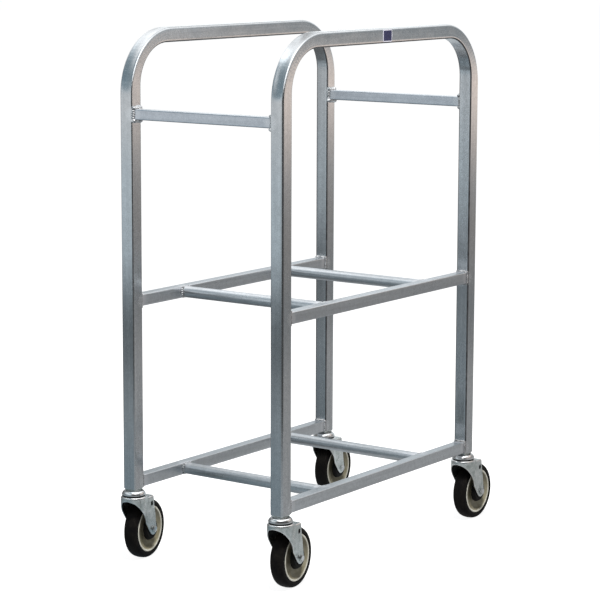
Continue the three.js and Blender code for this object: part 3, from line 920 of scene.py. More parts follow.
FINISH_PLANS = {
    "tube": DrawnAluminium(),
    "rail": DrawnAluminium(
        "rail_aluminium", (0.7, 0.737, 0.77), (0.72, 0.74, 0.77), 0.27, 0.000004
    ),
    "bar": DrawnAluminium("bar_aluminium", (0.55, 0.595, 0.65), (0.6, 0.63, 0.67)),
    "weld": WeldMetal(),
    "label": BorderedFoil(),
    "plate": PlatedSteel("zinc_plate", (0.8, 0.835, 0.83), (0.5, 0.555, 0.54), 0.22),
    "bright": PlatedSteel(
        "bright_plate", (0.91, 0.92, 0.925), (0.79, 0.805, 0.815), 0.08, 0.07, 0.00001
    ),
    "fastener": PlatedSteel(
        "fastener_plate", (0.9, 0.91, 0.91), (0.62, 0.64, 0.65), 0.12, 0.12
    ),
    "plain": PlatedSteel("plain_steel", (0.5, 0.5, 0.5), (0.42, 0.42, 0.42), 0.38),
    "seal": Moulded(
        "seal_rubber", (0.012, 0.012, 0.013), (0.02, 0.02, 0.021), (0.1, 0.095, 0.09), 0.55
    ),
    "guard": Moulded(
        "guard_plastic", (0.0045, 0.0045, 0.005), (0.008, 0.0075, 0.0065),
        (0.05, 0.042, 0.03), 0.4, 2200.0, 0.00002, 0.08, 0.07,
    ),
    # The wheel core's last colour is the painted shade of its web's recess.
    "core": Moulded(
        "core_resin", (0.62, 0.61, 0.55), (0.5, 0.49, 0.42),
        (0.16, 0.15, 0.1), 0.3, 1300.0, 0.00003, 0.3, 0.5, (0.145, 0.13, 0.08),
    ),
    "tyre": Moulded(
        "tyre_rubber", (0.004, 0.0037, 0.0042), (0.0075, 0.0068, 0.006),
        (0.035, 0.031, 0.024), 0.44, 1800.0, 0.00006, 0.12, 0.06,
    ),
}


def make_finishes() -> dict[str, Material]:
    """Makes every finish of the cart, once.

    Returns:
        The materials by use.
    """
    effects = Effects()
    return {use: plan.make(effects) for use, plan in FINISH_PLANS.items()}


# --- Frame ---


@dataclass(frozen=True)
class FrameSizes:
    """Driving sizes of the welded frame, in millimetres, as in the part's source."""

    height: float = 1150.0
    loop_spacing: float = 392.0
    leg_spacing: float = 720.0
    leg_end: float = 164.0
    top_bar_level: float = 972.0
    mid_level: float = 573.0
    low_level: float = 177.3
    rod_spacing: float = 384.0
    loop_tube: float = 31.75
    loop_wall: float = 2.5
    loop_corner: float = 3.3
    outer_bend: float = 136.0
    inner_bend: float = 89.0
    top_bar_tube: float = 22.2
    rail_tube: float = 25.4
    cross_wall: float = 2.0
    cross_corner: float = 2.0
    rod: float = 25.4

    @property
    def levels(self) -> dict[str, float]:
        """Heights of the rails and rods, by their word in the nodes' names."""
        return {"mid": self.mid_level, "low": self.low_level}


@dataclass(frozen=True)
class Seam:
    """Where a tube's end is welded square to the face of another.

    Attributes:
        centre: middle of the tube's end, on the host's face.
        across, along, away: unit vectors across the host, along it and out along the tube.
        half, corner: half width and corner radius of the tube; equal for a round rod.
        host_half, host_corner: the same of the host.
        low_limit: how far the host reaches against its along direction.
        reach: the bead's leg length.
        seed: for the hand-made unevenness.
    """

    centre: Place
    across: Place
    along: Place
    away: Place
    half: float
    corner: float
    host_half: float
    host_corner: float
    low_limit: float
    reach: float
    seed: int


@dataclass(frozen=True)
class WeldBead:
    """A fillet bead laid as overlapping drops round the end of a tube.

    Across the bead runs a curve from the tube's side to the host's face, bulged outwards; along
    it the bulge rises and falls once per drop, with crescent crests that lag in the middle. Its
    width wanders by hand, its toe keeps a margin to the host's side, and its root is sunk.
    """

    pitch: float = 3.6
    bulge: float = 0.7
    ripple: float = 0.46
    steps: int = 9
    sink: float = 0.5
    wander: float = 0.16
    waves: int = 7
    lag: float = 1.1
    margin: float = 0.4
    thinnest: float = 0.42

    def unevenness(self, seed: int, run: Array, length: float) -> Array:
        """A closed wave in -1..1: the sum of sines of random phase and weight, fading by number.

        Args:
            seed: for the random draws.
            run: distance round the bead.
            length: the whole way round.

        Returns:
            One value per point.
        """
        random = np.random.default_rng(seed)
        number = np.arange(1, self.waves + 1)[:, None]
        phase = random.uniform(0, TAU, (self.waves, 1))
        weight = random.normal(0, 1, (self.waves, 1))
        wave = (np.sin(number * run * TAU / length + phase) * weight / number**0.5).sum(axis=0)
        return wave / np.abs(wave).max()

    def surface(self, seam: Seam) -> Surface:
        """Builds the bead as a closed ring of closed cross-sections.

        Args:
            seam: the joint.

        Returns:
            The surface, with the valleys between drops as its rim_distance value.
        """
        section = Section.make(12, 44) if seam.corner < seam.half else Section.make(44, 2)
        start = section.outline(seam.half, seam.half, seam.corner)
        turn = section.turn
        gap = np.linalg.norm(np.roll(start, -1, axis=0) - start, axis=1)
        run, length = join([[0.0], np.cumsum(gap)[:-1]]), gap.sum()
        drops = round(length / self.pitch)
        uneven = self.unevenness(seam.seed, run, length)
        reach = seam.reach * (1 + self.wander * uneven)
        toe = start + turn * reach[:, None]
        edge = seam.host_half - self.margin
        toe[:, 0] = np.clip(toe[:, 0], -edge, edge)
        toe[:, 1] = np.maximum(toe[:, 1], 0.3 - seam.low_limit)
        rounded = np.abs(toe[:, 0]) - (seam.host_half - seam.host_corner)
        over = np.clip(rounded, 0, seam.host_corner)
        fall = seam.host_corner - np.sqrt(seam.host_corner**2 - over**2)
        room = np.clip(np.linalg.norm(toe - start, axis=1) / seam.reach, self.thinnest, 1)
        climb = reach * room * 0.92
        t = np.linspace(0, 1, self.steps)[None, :]
        crest = math.pi * run[:, None] * drops / length - self.lag * (1 - (2 * t - 1) ** 2)
        drop = np.abs(np.cos(crest)) ** 0.7
        swell = self.bulge + self.ripple * (drop - 0.6) + 0.03 * uneven[:, None]
        fade, early, middle = np.sin(math.pi * t), (1 - t) ** 2, 2 * t * (1 - t)
        at_start, at_toe = early + middle * (1 - swell), t**2 + middle * swell
        plan = at_start[..., None] * start[:, None] + at_toe[..., None] * toe[:, None]
        plan = plan + turn[:, None] * (fade * (0.35 + 0.5 * self.ripple * drop))[..., None]
        level = early * climb[:, None] + middle * swell * climb[:, None] - t**2 * fall[:, None]
        outer = raised(plan, level + fade * (0.3 + self.ripple * (drop - 0.5)))
        inwards = start - turn * self.sink
        under = raised(toe, -fall - self.sink), raised(inwards, -self.sink), raised(inwards, climb)
        ring = join([outer, *(row[:, None] for row in under)], axis=1)
        points = ring @ np.array([seam.across, seam.along, seam.away]) + np.array(seam.centre)
        valley = np.zeros(ring.shape[:2])
        valley[:, : self.steps] = (1 - drop) ** 2 * fade
        grain = 37.0 * seam.seed
        return grid_surface(points, wrap_rows=True, values={RIM: valley}, start=grain)


@dataclass(frozen=True)
class TubePath:
    """The way that a tube's section is carried.

    Attributes:
        centres: (rows, 3) path.
        first: section x axis.
        second: section y axis, one or one per row.
        halves: half sizes along the two axes, numbers or one per row.
        corner: corner radius.
        wall: wall thickness.
    """

    centres: Array
    first: Any
    second: Any
    halves: tuple[Any, Any]
    corner: float
    wall: float


@dataclass
class CartFrame:
    """The welded frame: loops, rails, bars, rods, their welds and the label plate.

    The station is the longest step along a tube, the halo the cleaned zone round a weld, and the
    hollow how far the outer face of a bend falls in.
    """

    workshop: Workshop
    finishes: Mapping[str, Material]
    sizes: FrameSizes = field(default_factory=FrameSizes)
    bead: WeldBead = field(default_factory=WeldBead)
    station: float = 5.0
    body: str = "frame"
    slot: str = "frame_aluminium"
    halo_near: float = 15.0
    halo_far: float = 30.0
    least_bore_corner: float = 0.4
    hollow: float = 1.7
    straights: int = 0

    def __post_init__(self) -> None:
        """Works out where the welds are."""
        s = self.sizes
        self.seams: dict[str, list[Seam]] = {"end_bar_welds": [], "rail_welds": [], "rod_welds": []}
        half_x, half_y, tube = s.loop_spacing / 2, s.leg_spacing / 2, s.loop_tube / 2
        rail, bar, rod, corner = s.rail_tube / 2, s.top_bar_tube / 2, s.rod / 2, s.cross_corner
        goes_on = 400.0
        below = {"mid": goes_on, "low": s.low_level - s.leg_end}
        loop_host, rail_host = (tube, s.loop_corner), (rail, corner)
        for side in Side:
            inward = (-side.value, 0.0, 0.0)
            for end in End:
                at = (side.value * (half_x - tube), end.value * half_y, s.top_bar_level)
                way = Y_AXIS, Z_AXIS, inward
                self._join("end_bar_welds", at, *way, bar, corner, *loop_host, goes_on, 7.2)
                for word, level in s.levels.items():
                    at = (side.value * half_x, end.value * (half_y - tube), level)
                    way = X_AXIS, Z_AXIS, (0.0, -end.value, 0.0)
                    self._join("rail_welds", at, *way, rail, corner, *loop_host, below[word], 4.4)
                    at = (side.value * (half_x - rail), end.value * s.rod_spacing / 2, level)
                    way = Z_AXIS, Y_AXIS, inward
                    self._join("rod_welds", at, *way, rod, rod, *rail_host, goes_on, 4.6)

    def _join(self, kind: str, *parts: Any) -> None:
        """Adds a weld of a kind, from all parts of a Seam but the seed, which is its own."""
        bars, rails, rods = (len(seams) for seams in self.seams.values())
        self.seams[kind].append(Seam(*parts, 11 + bars + 7 * rails + 31 * rods))

    def heat(self, points: Array) -> Array:
        """How close each point is to a weld: 1 within its foot and 0 beyond the halo.

        Args:
            points: (..., 3) places.

        Returns:
            (...) values.
        """
        seams = np.array([seam.centre for group in self.seams.values() for seam in group])
        away = np.linalg.norm(points[..., None, :] - seams, axis=-1).min(axis=-1)
        return smooth_step(self.halo_far, self.halo_near, away)

    def _tube(
        self, path: TubePath, section: Section, start: float, bend: Array | None = None
    ) -> Surface:
        """A tube with its bore: a rounded section carried out along a path, then the bore back.

        Where it is bent, the outer face falls in, hollow across. Painted shade lies on the inner or
        lower side of its corners, by the product of how far their direction turns to both sides.

        Args:
            path: the way.
            section: the unit pattern.
            start: first U.
            bend: share of bender marks per row.

        Returns:
            A closed shell.
        """
        half_x, half_y = (np.asarray(half, float) for half in path.halves)
        skin = section.outline(half_x, half_y, path.corner)
        bore_corner = max(path.corner - path.wall, self.least_bore_corner)
        bore = section.outline(half_x - path.wall, half_y - path.wall, bore_corner)
        rows = len(path.centres)
        if skin.ndim == 2:
            skin, bore = (np.broadcast_to(a, (rows, *a.shape)) for a in (skin, bore))
        plans = join([skin, bore[::-1]])
        marks, width, painted_dark = np.zeros(rows), 2.0, 0.3
        if bend is not None:
            marks, width, painted_dark = bend, 6.0, 1.0
            share = join([bend, bend[::-1]])[:, None]
            across = plans[..., 0] / np.abs(plans[..., 0]).max()
            hollow = np.clip(1 - across**2, 0, 1) ** 1.5
            plans[..., 1] -= self.hollow * share * hollow * np.clip(section.spread[:, 1], 0, 1) ** 8
        second = np.broadcast_to(path.second, (rows, 3))
        centre, second = (join([a, a[::-1]])[:, None] for a in (path.centres, second))
        points = centre + plans[..., :1] * np.array(path.first) + plans[..., 1:] * second
        marks = join([marks, marks[::-1] * 0])[:, None] * np.ones(points.shape[1])
        at_corner = np.abs(section.spread).min(axis=1) > 0.999
        # Painted shade on the inner or lower corner arcs; the loops carry more of it than straight
        # tubes.
        lower = -width * np.abs(section.turn[:, 0]) * section.turn[:, 1]
        shade_paint = np.broadcast_to(np.clip(lower, 0, 1) * at_corner * painted_dark, points.shape[:2])
        values = {HEAT: self.heat(points), BEND: marks, PAINTED_SHADE: shade_paint}
        return grid_surface(points, wrap_rows=True, values=values, start=start)

    def loop(self, side: Side) -> Surface:
        """One loop: its skin runs between an outer and an inner line, straight, bent and straight.

        Both lines are split at the bends' ends and walked at the same share of their length, so
        the tube is a little flatter through a bend, as a bent tube is.

        Args:
            side: which loop.

        Returns:
            A closed shell, cut square at the leg ends.
        """
        s, tube = self.sizes, self.sizes.loop_tube
        out_y, in_y = (s.leg_spacing + tube) / 2, (s.leg_spacing - tube) / 2
        spring, inner_spring = s.height - s.outer_bend, s.height - tube - s.inner_bend
        flat_y = out_y - s.outer_bend
        rise = np.linspace(s.leg_end, spring, int((spring - s.leg_end) / self.station))[:-1]
        top = np.linspace(flat_y, 0, int(flat_y / self.station) + 1)[1:]
        share = np.linspace(0, 1, 49)
        angle = share * QUARTER
        arc_out = np.array([flat_y, spring]) + polar(s.outer_bend, angle)
        arc_in = np.array([in_y - s.inner_bend, inner_spring]) + polar(s.inner_bend, angle)
        path_in = join([[[in_y, spring]], arc_in, [[flat_y, s.height - tube]]])
        arc_in = at_distances(path_in, share * walked(path_in)[-1])
        lines = []
        for y, arc, level in ((out_y, arc_out, s.height), (in_y, arc_in, s.height - tube)):
            leg = np.stack([np.full_like(rise, y), rise], axis=1)
            half = join([leg, arc, np.stack([top, np.full_like(top, level)], axis=1)])
            lines.append(join([half, half[-2::-1] * [-1, 1]]))
        bent = smooth_step(0, 0.12, share) * smooth_step(1, 0.88, share)
        marks = join([np.zeros(len(rise)), bent, np.zeros(len(top))])
        marks = join([marks, marks[-2::-1]])
        middle, reach = (lines[0] + lines[1]) / 2, lines[0] - lines[1]
        rows, depth = len(middle), np.linalg.norm(reach, axis=1)
        centres = np.column_stack([np.full(rows, side.value * s.loop_spacing / 2), middle])
        second = np.column_stack([np.zeros(rows), unit(reach)])
        halves = (np.full(rows, tube / 2), depth / 2)
        path = TubePath(centres, X_AXIS, second, halves, s.loop_corner, s.loop_wall)
        return self._tube(path, Section.make(5, 8), 4000.0 * (side.value + 2), marks)

    def straight(self, end: Array, flip: Array, half: float, corner: float) -> Surface:
        """A straight tube along X or Y, from one end to its mirror image.

        Args:
            end: its far end.
            flip: factors that mirror it.
            half: half width.
            corner: corner radius; half for a round rod.

        Returns:
            A closed shell, with its own stretch of grain.
        """
        self.straights += 1
        low, run = end * flip, end - end * flip
        rows = int(np.linalg.norm(run) / self.station) + 1
        centres = low + np.linspace(0, 1, rows)[:, None] * run
        first, wall = np.cross(unit(run), Z_AXIS), self.sizes.cross_wall
        section = Section.make(13, 2) if corner >= half else Section.make(5, 8)
        path = TubePath(centres, first, Z_AXIS, (half, half), corner, wall)
        return self._tube(path, section, 911.0 * self.straights)

    def label(self) -> Surface:
        """The label plate: nested rounded rectangles on both faces, closed over a rounded edge.

        Returns:
            A closed shell, with the distance to its rim as a value.
        """
        s = self.sizes
        length, height, thickness, corner, soft = 35.0, 26.0, 0.4, 3.0, 0.12
        section, rearward, middle = Section.make(7, 6), 1.0, 13.0
        inset = np.array([0.0, 0.25, 1.0, 1.9, 2.1, 2.3, 2.5, 2.7, 4.0, 8.0, 12.9])
        corners = np.clip(corner - inset, 0.05, None)
        face = section.outline(length / 2 - inset - soft, height / 2 - inset - soft, corners)
        edge = section.outline(*(np.full(2, a) for a in (length / 2, height / 2, corner)))
        plans = join([face[::-1], edge, face])
        pole = plans[:1].mean(axis=1, keepdims=True) * np.ones_like(plans[:1])
        plans = join([pole, plans, pole])
        upper, lower = np.full(len(inset) + 1, thickness), np.zeros(len(inset) + 1)
        rise = join([upper, [thickness - soft, soft], lower])
        rims = join([[middle], inset[::-1], [0, 0], inset, [middle]])
        columns = np.ones(plans.shape[1])
        x = (s.loop_spacing + s.loop_tube) / 2 + rise[:, None] * columns
        z = s.height - s.loop_tube / 2
        points = np.stack([x, plans[..., 0] + rearward, plans[..., 1] + z], axis=-1)
        return grid_surface(points, values={RIM: rims[:, None] * columns})

    def build(self) -> None:
        """Builds and dresses every piece of the frame."""
        s = self.sizes
        rail, rod, bar = s.rail_tube / 2, s.rod / 2, s.top_bar_tube / 2
        leg_end = (s.leg_spacing - s.loop_tube) / 2
        bar_end, rod_end = (s.loop_spacing - s.loop_tube) / 2, (s.loop_spacing - s.rail_tube) / 2
        for side in Side:
            x = side.value * s.loop_spacing / 2
            self._dress(f"{side.name}_loop", self.loop(side), "tube")
            for word, level in s.levels.items():
                tube = self.straight(np.array([x, leg_end, level]), FLIP_Y, rail, s.cross_corner)
                self._dress(f"{side.name}_{word}_rail", tube, "rail")
        for end in End:
            far = np.array([bar_end, end.value * s.leg_spacing / 2, s.top_bar_level])
            tube = self.straight(far, FLIP_X, bar, s.cross_corner)
            self._dress(f"{end.name}_top_bar", tube, "bar")
            for word, level in s.levels.items():
                far = np.array([rod_end, end.value * s.rod_spacing / 2, level])
                self._dress(f"{end.name}_{word}_rod", self.straight(far, FLIP_X, rod, rod), "rail")
        piece, finishes = self.workshop.piece, self.finishes
        for name, seams in self.seams.items():
            beads = [self.bead.surface(seam) for seam in seams]
            piece(name, beads, finishes["weld"], self.body, self.slot, sharp_degrees=60.0)
        label = [self.label()]
        piece("label_foil", label, finishes["label"], self.body, "label", "label_plate")

    def _dress(self, node: str, tube: Surface, use: str) -> None:
        """Makes one tube's piece, which stands for its node."""
        finish = self.finishes[use]
        self.workshop.piece(f"{node}_tube", [tube], finish, self.body, self.slot, node)


# --- Casters ---


@dataclass(frozen=True)
class ForkSheet:
    """The pressed fork: one sheet that wraps the crown's round front and runs down to the tips.

    The sheet is drawn flat first, w along the wall from the middle of its front and v up it, over
    the rolled top edge and inwards across the crown. fold() gives each flat point and depth its
    place: down the wall x and y follow the plan line, over the roll they turn in on a quarter
    circle, and on the crown they go on inwards. The round seat of the raceway stands higher than
    the deck behind it: all that lies near the swivel axis is lifted by a smooth step of its
    distance from the axis, and the wall under it is stretched upwards to follow.
    """

    crown_radius: float = 28.05
    half_width: float = 24.0
    thickness: float = 2.5
    roll: float = 4.4
    top: float = 141.0
    raise_by: float = 5.6
    raise_near: float = 25.6
    raise_far: float = 30.6
    stretch_foot: float = 112.0
    skirt: float = 137.2
    rear: float = 44.2
    trail: float = 42.5
    axle: float = 65.0
    tip: float = 12.7
    tip_start: float = 225.0
    edge: float = 0.55
    spacing: float = 2.2
    kingpin_hole: float = 6.15
    axle_hole: float = 4.3
    front_shares: Rows = (
        (0.0, 0.0), (0.06, 0.045), (0.16, 0.134), (0.266, 0.241), (0.353, 0.338),
        (0.493, 0.483), (0.633, 0.654), (0.755, 0.8), (0.93, 1.0), (0.983, 1.058),
    )
    rear_shares: Rows = (
        (0.23, 0.24), (0.46, 0.46), (0.64, 0.57), (0.79, 0.68), (0.95, 0.87),
    )

    @property
    def roll_foot(self) -> float:
        """Height where the wall starts to roll over."""
        return self.top - self.roll

    @property
    def roll_end(self) -> float:
        """Flat height v where the roll ends and the crown begins."""
        return self.roll_foot + self.roll * QUARTER

    def plan(self) -> tuple[Array, Array]:
        """The wall's plan line: heading turns steadily round the front, then eases to straight.

        Returns:
            Distance w along the line and the (x, y) points, for the right half.
        """
        meet = math.asin(math.sqrt(self.crown_radius**2 - self.half_width**2) / self.crown_radius)
        arc = self.crown_radius * (QUARTER + meet)
        w = np.linspace(0, arc + 52.0, 1200)
        heading = w / self.crown_radius
        heading += (QUARTER - heading) * smooth_step(arc - 2.6, arc + 2.6, w)
        step = np.diff(w, prepend=0.0)
        x = np.cumsum(np.cos(heading) * step)
        y = np.cumsum(np.sin(heading) * step) - self.crown_radius
        x *= 1 + (self.half_width / x[-1] - 1) * smooth_step(0, arc, w)
        return w, np.stack([x, y], axis=1)

    def lift(self, x: Array, y: Array) -> Array:
        """How much the crown is raised at a place, from its distance to the swivel axis."""
        return self.raise_by * smooth_step(self.raise_far, self.raise_near, np.hypot(x, y))

    def stretch(self, height: Array, lift: Array) -> Array:
        """Wall heights, drawn out above stretch_foot so that the roll's foot rises by lift."""
        over = np.clip(height - self.stretch_foot, 0, None)
        return height + over * lift / (self.roll_foot - self.stretch_foot)

    def fold(self, flat: Array, depth: Any) -> Array:
        """Places flat points in space.

        Args:
            flat: (..., 2) w and v.
            depth: distance under the outer surface, a number or (...).

        Returns:
            (..., 3) points.
        """
        w, line = self.plan()
        tangent = unit(np.gradient(line, w, axis=0))
        distance, sign, v = np.abs(flat[..., 0]), np.sign(flat[..., 0]), flat[..., 1]
        x, y, tx, ty = (np.interp(distance, w, column) for column in (*line.T, *tangent.T))
        angle = np.clip((v - self.roll_foot) / self.roll, 0, QUARTER)
        inner, on_wall = self.roll - depth, v < self.roll_foot
        inward = self.roll - inner * np.cos(angle) + np.clip(v - self.roll_end, 0, None)
        inward = np.where(on_wall, depth, inward)
        lift = self.lift(x - self.roll * ty, y + self.roll * tx)
        rolled = self.roll_foot + inner * np.sin(angle) + lift
        z = np.where(on_wall, self.stretch(v, lift), rolled)
        return np.stack([sign * (x - inward * ty), y + inward * tx, z], axis=-1)

    def to_flat(self, side_points: Any) -> Array:
        """Turns points of the side view into flat ones: w by their y, and z unstretched.

        Args:
            side_points: (n, 2) y and z.

        Returns:
            (n, 2) w and v on the right half.
        """
        w, line = self.plan()
        y, z = np.asarray(side_points, float).T
        along = np.interp(y, line[:, 1], w)
        place = [np.interp(along, w, column) for column in line.T]
        inwards = 1 - self.roll / np.maximum(self.crown_radius, np.hypot(*place))
        lift = self.lift(place[0] * inwards, place[1] * inwards)
        over = np.clip(z - self.stretch_foot, 0, None)
        height = z - over + over / (1 + lift / (self.roll_foot - self.stretch_foot))
        return np.stack([along, height], axis=1)

    def boundary(self) -> tuple[Array, Array]:
        """The free edge of the right half, from the skirt's middle round the tip to the rear.

        Returns:
            The wall's part and the part over the roll and crown, as (w, v) points.
        """
        tip_front, tip_rear = self.trail - self.tip, self.trail + self.tip
        run, drop = tip_front + self.crown_radius, self.skirt - self.axle
        front = [(a * run - self.crown_radius, self.skirt - b * drop) for a, b in self.front_shares]
        angle = np.radians(np.linspace(self.tip_start, 360.0, 27))
        arc = self.to_flat(np.array([self.trail, self.axle]) + polar(self.tip, angle))
        back, climb = tip_rear - self.rear, self.top - self.axle
        rear = [(tip_rear - a * back, self.axle + b * climb) for a, b in self.rear_shares]
        front, rear = self.to_flat(front), self.to_flat([*rear, (self.rear, self.roll_foot)])
        mirrored, beyond = front[1] * [-1, 1], rear[-1] + [0.0, 12.0]
        front_curve = through_points(np.vstack([mirrored, front, arc[0], arc[3]]), 24)
        rear_curve = through_points(np.vstack([arc[-4], arc[-1], rear, beyond]), 24)
        line = np.vstack([front_curve[:-1], arc, rear_curve[1:]])
        length = walked(line)[-1]
        wall = at_distances(line, np.linspace(0, length, int(round(length)) + 1))
        roll = np.linspace(self.roll_foot, self.roll_end, 9)[1:]
        crown = np.linspace(self.roll_end, self.roll_end + self.half_width - self.roll, 14)[1:]
        over = join([roll, crown])
        return wall, np.stack([np.full_like(over, wall[-1, 0]), over], axis=1)

    def rim(self, line: Array, outward: Array, closed: bool, soft: float) -> Surface:
        """The cut edge of the sheet, with both of its corners rounded by a quarter circle.

        Args:
            line: (n, 2) true edge, in flat coordinates.
            outward: (n, 2) unit vectors out of the sheet.
            closed: the line is a loop.
            soft: rounding.

        Returns:
            The strip from the outer surface to the inner one.
        """
        sine, cosine = (soft * f(np.linspace(0, QUARTER, 5)) for f in (np.sin, np.cos))
        back = join([sine - soft, (sine - soft)[::-1]])
        deep = join([soft - cosine, (self.thickness - soft + cosine)[::-1]])
        flat = line[:, None] + outward[:, None] * back[None, :, None]
        bright = smooth_step(self.thickness, 0.6 * self.thickness, deep)
        bright = np.broadcast_to(bright, flat.shape[:2])
        # Open cut edges: a painted highlight, partly a polished edge, on the outer half of the
        # strip.
        shine, unshaded = (0.0, 0.1) if closed else (0.8, 1.0)
        # Painted shade on the inner half of an open edge and over almost all of a hole's rim.
        marks = {RIM: bright * shine, PAINTED_SHADE: 1 - bright * unshaded}
        points = self.fold(flat, deep[None, :])
        return grid_surface(points, wrap_rows=closed, wrap_columns=False, values=marks)

    def surfaces(self) -> list[Surface]:
        """Every part of the fork's shell; they share their border points and merge.

        Returns:
            Both walls, the cut edges, the roll, the crown and the kingpin's hole.
        """
        wall, over = self.boundary()
        half = np.vstack([wall, over])
        whole = np.vstack([half[::-1] * [-1, 1], half[1:]])
        step = unit(np.gradient(whole, axis=0))
        outward = np.stack([step[:, 1], -step[:, 0]], axis=1)
        count, extra = len(wall), len(over)
        outward[: extra + 1], outward[-extra - 1 :] = [-1.0, 0.0], [1.0, 0.0]
        outward[len(half) - 1] = [0.0, -1.0]
        inset = whole - outward * self.edge
        wall_loop = inset[extra : extra + 2 * count - 1]
        top_w = np.linspace(wall_loop[-1, 0], wall_loop[0, 0], 150)
        top_row = np.stack([top_w, np.full_like(top_w, self.roll_foot)], axis=1)
        holes, strips = self._holes()
        cells, corners = self._fill(np.vstack([wall_loop, top_row[1:-1]]), holes)
        roll_v = join([[self.roll_foot], over[:8, 1]])
        roll = np.stack(np.meshgrid(top_w, roll_v, indexing="ij"), axis=-1)
        up_roll = (roll[..., 1] - self.roll_foot) / (self.roll_end - self.roll_foot)
        # A painted highlight, partly a burnished edge, runs along the middle of the roll on the
        # outer face.
        burnish_and_highlight = np.sin(math.pi * np.clip(up_roll, 0, 1)) ** 0.5
        right, left = inset[-extra:], inset[:extra][::-1]
        ring = np.vstack([roll[:, -1], left[8:-1], right[8:][::-1]])
        share = np.linspace(0, 1, 45)[:, None, None]
        # The inner face is painted in shade; the outer face is not.
        faces, shells, mouths = ((0.0, 0.0), (self.thickness, 1.0)), [], []
        for depth, grime in faces:
            shade_paint = {PAINTED_SHADE: np.full(len(cells), grime)}
            shells.append(Surface(self.fold(cells, depth), corners, cells[corners], shade_paint))
        shells += [*strips, self.rim(whole, outward, False, self.edge)]
        for depth, grime in faces:
            marks = {RIM: burnish_and_highlight * (1 - grime), PAINTED_SHADE: np.full(burnish_and_highlight.shape, grime)}
            shells.append(grid_surface(self.fold(roll, depth), wrap_columns=False, values=marks))
            outer = self.fold(ring, depth)
            bearing = np.arctan2(outer[:, 1], outer[:, 0])
            hole = raised(polar(self.kingpin_hole, bearing), outer[:, 2])
            sheet = outer * (1 - share) + hole * share
            sheet[..., 2] = self.top - depth + self.lift(sheet[..., 0], sheet[..., 1])
            shells.append(grid_surface(sheet, values={PAINTED_SHADE: np.full(sheet.shape[:2], grime)}))
            mouths.append(sheet[-1])
        return [*shells, grid_surface(np.stack(mouths))]

    def _holes(self) -> tuple[list[Array], list[Surface]]:
        """The axle holes and the small rear holes of both legs.

        Returns:
            Their inset outlines in flat coordinates, and their rims.
        """
        behind_rear, under_top = 8.0, 17.0
        rear_hole = (self.rear - behind_rear, self.top - under_top)
        places = self.to_flat([(self.trail, self.axle), rear_hole])
        slot = Section.make(9, 3).outline(3.75, 4.5, 2.8)
        round_hole = polar(self.axle_hole, np.linspace(0, TAU, 33)[:-1])
        loops, strips = [], []
        for sign in (1, -1):
            for place, shape, soft in zip(places, (round_hole, slot), (0.2, 0.45)):
                line = (place + shape) * [sign, 1]
                step = unit(np.roll(line, -1, axis=0) - np.roll(line, 1, axis=0))
                inward = np.stack([-step[:, 1], step[:, 0]], axis=1) * sign
                loops.append(line - inward * soft)
                strips.append(self.rim(line, inward, True, soft))
        return loops, strips

    def _fill(self, outline: Array, holes: Sequence[Array]) -> tuple[Array, Array]:
        """Triangles that fill the flat outline around its holes, on a staggered lattice.

        Args:
            outline: (n, 2) closed outline.
            holes: closed outlines of the holes.

        Returns:
            (p, 2) points and (t, 3) triangles.
        """
        loops = [outline, *holes]
        border = np.vstack(loops)
        low, high = outline.min(axis=0), outline.max(axis=0)
        row_step = self.spacing * 0.866
        steps = np.arange(low[0], high[0], self.spacing), np.arange(low[1], high[1], row_step)
        across, up = np.meshgrid(*steps)
        across = across + (np.arange(len(across)) % 2)[:, None] * self.spacing / 2
        lattice = np.stack([across.ravel(), up.ravel()], axis=1)
        lattice = lattice[inside(lattice, loops)]
        near = np.linalg.norm(lattice[:, None] - border[None], axis=2).min(axis=1)
        points = np.vstack([border, lattice[near > self.spacing * 0.45]])
        edges, first = [], 0
        for loop in loops:
            number = np.arange(len(loop)) + first
            edges.append(np.stack([number, np.roll(number, -1)], axis=1))
            first += len(loop)
        corners = [Vector(point) for point in points]
        made = delaunay_2d_cdt(corners, np.vstack(edges).tolist(), [], 0, 1e-6)
        cells = np.array([tuple(point) for point in made[0]])
        if len(cells) == len(points):
            cells = points
        triangles = np.array([face for face in made[2] if len(face) == 3])
        return cells, triangles[inside(cells[triangles].mean(axis=1), loops)]


def inside(points: Array, loops: Sequence[Array]) -> Array:
    """Whether points lie inside loops: a ray from such a point crosses them an odd number of times.

    Args:
        points: (n, 2) places.
        loops: closed outlines.

    Returns:
        (n,) truth values.
    """
    odd = np.zeros(len(points), bool)
    x, y = points[:, None, 0], points[:, None, 1]
    for loop in loops:
        a, b = loop[None], np.roll(loop, -1, axis=0)[None]
        spans = (a[..., 1] > y) != (b[..., 1] > y)
        rise = np.where(b[..., 1] == a[..., 1], 1.0, b[..., 1] - a[..., 1])
        cross = a[..., 0] + (y - a[..., 1]) * (b[..., 0] - a[..., 0]) / rise
        odd ^= (np.sum(spans & (x < cross), axis=1) % 2).astype(bool)
    return odd


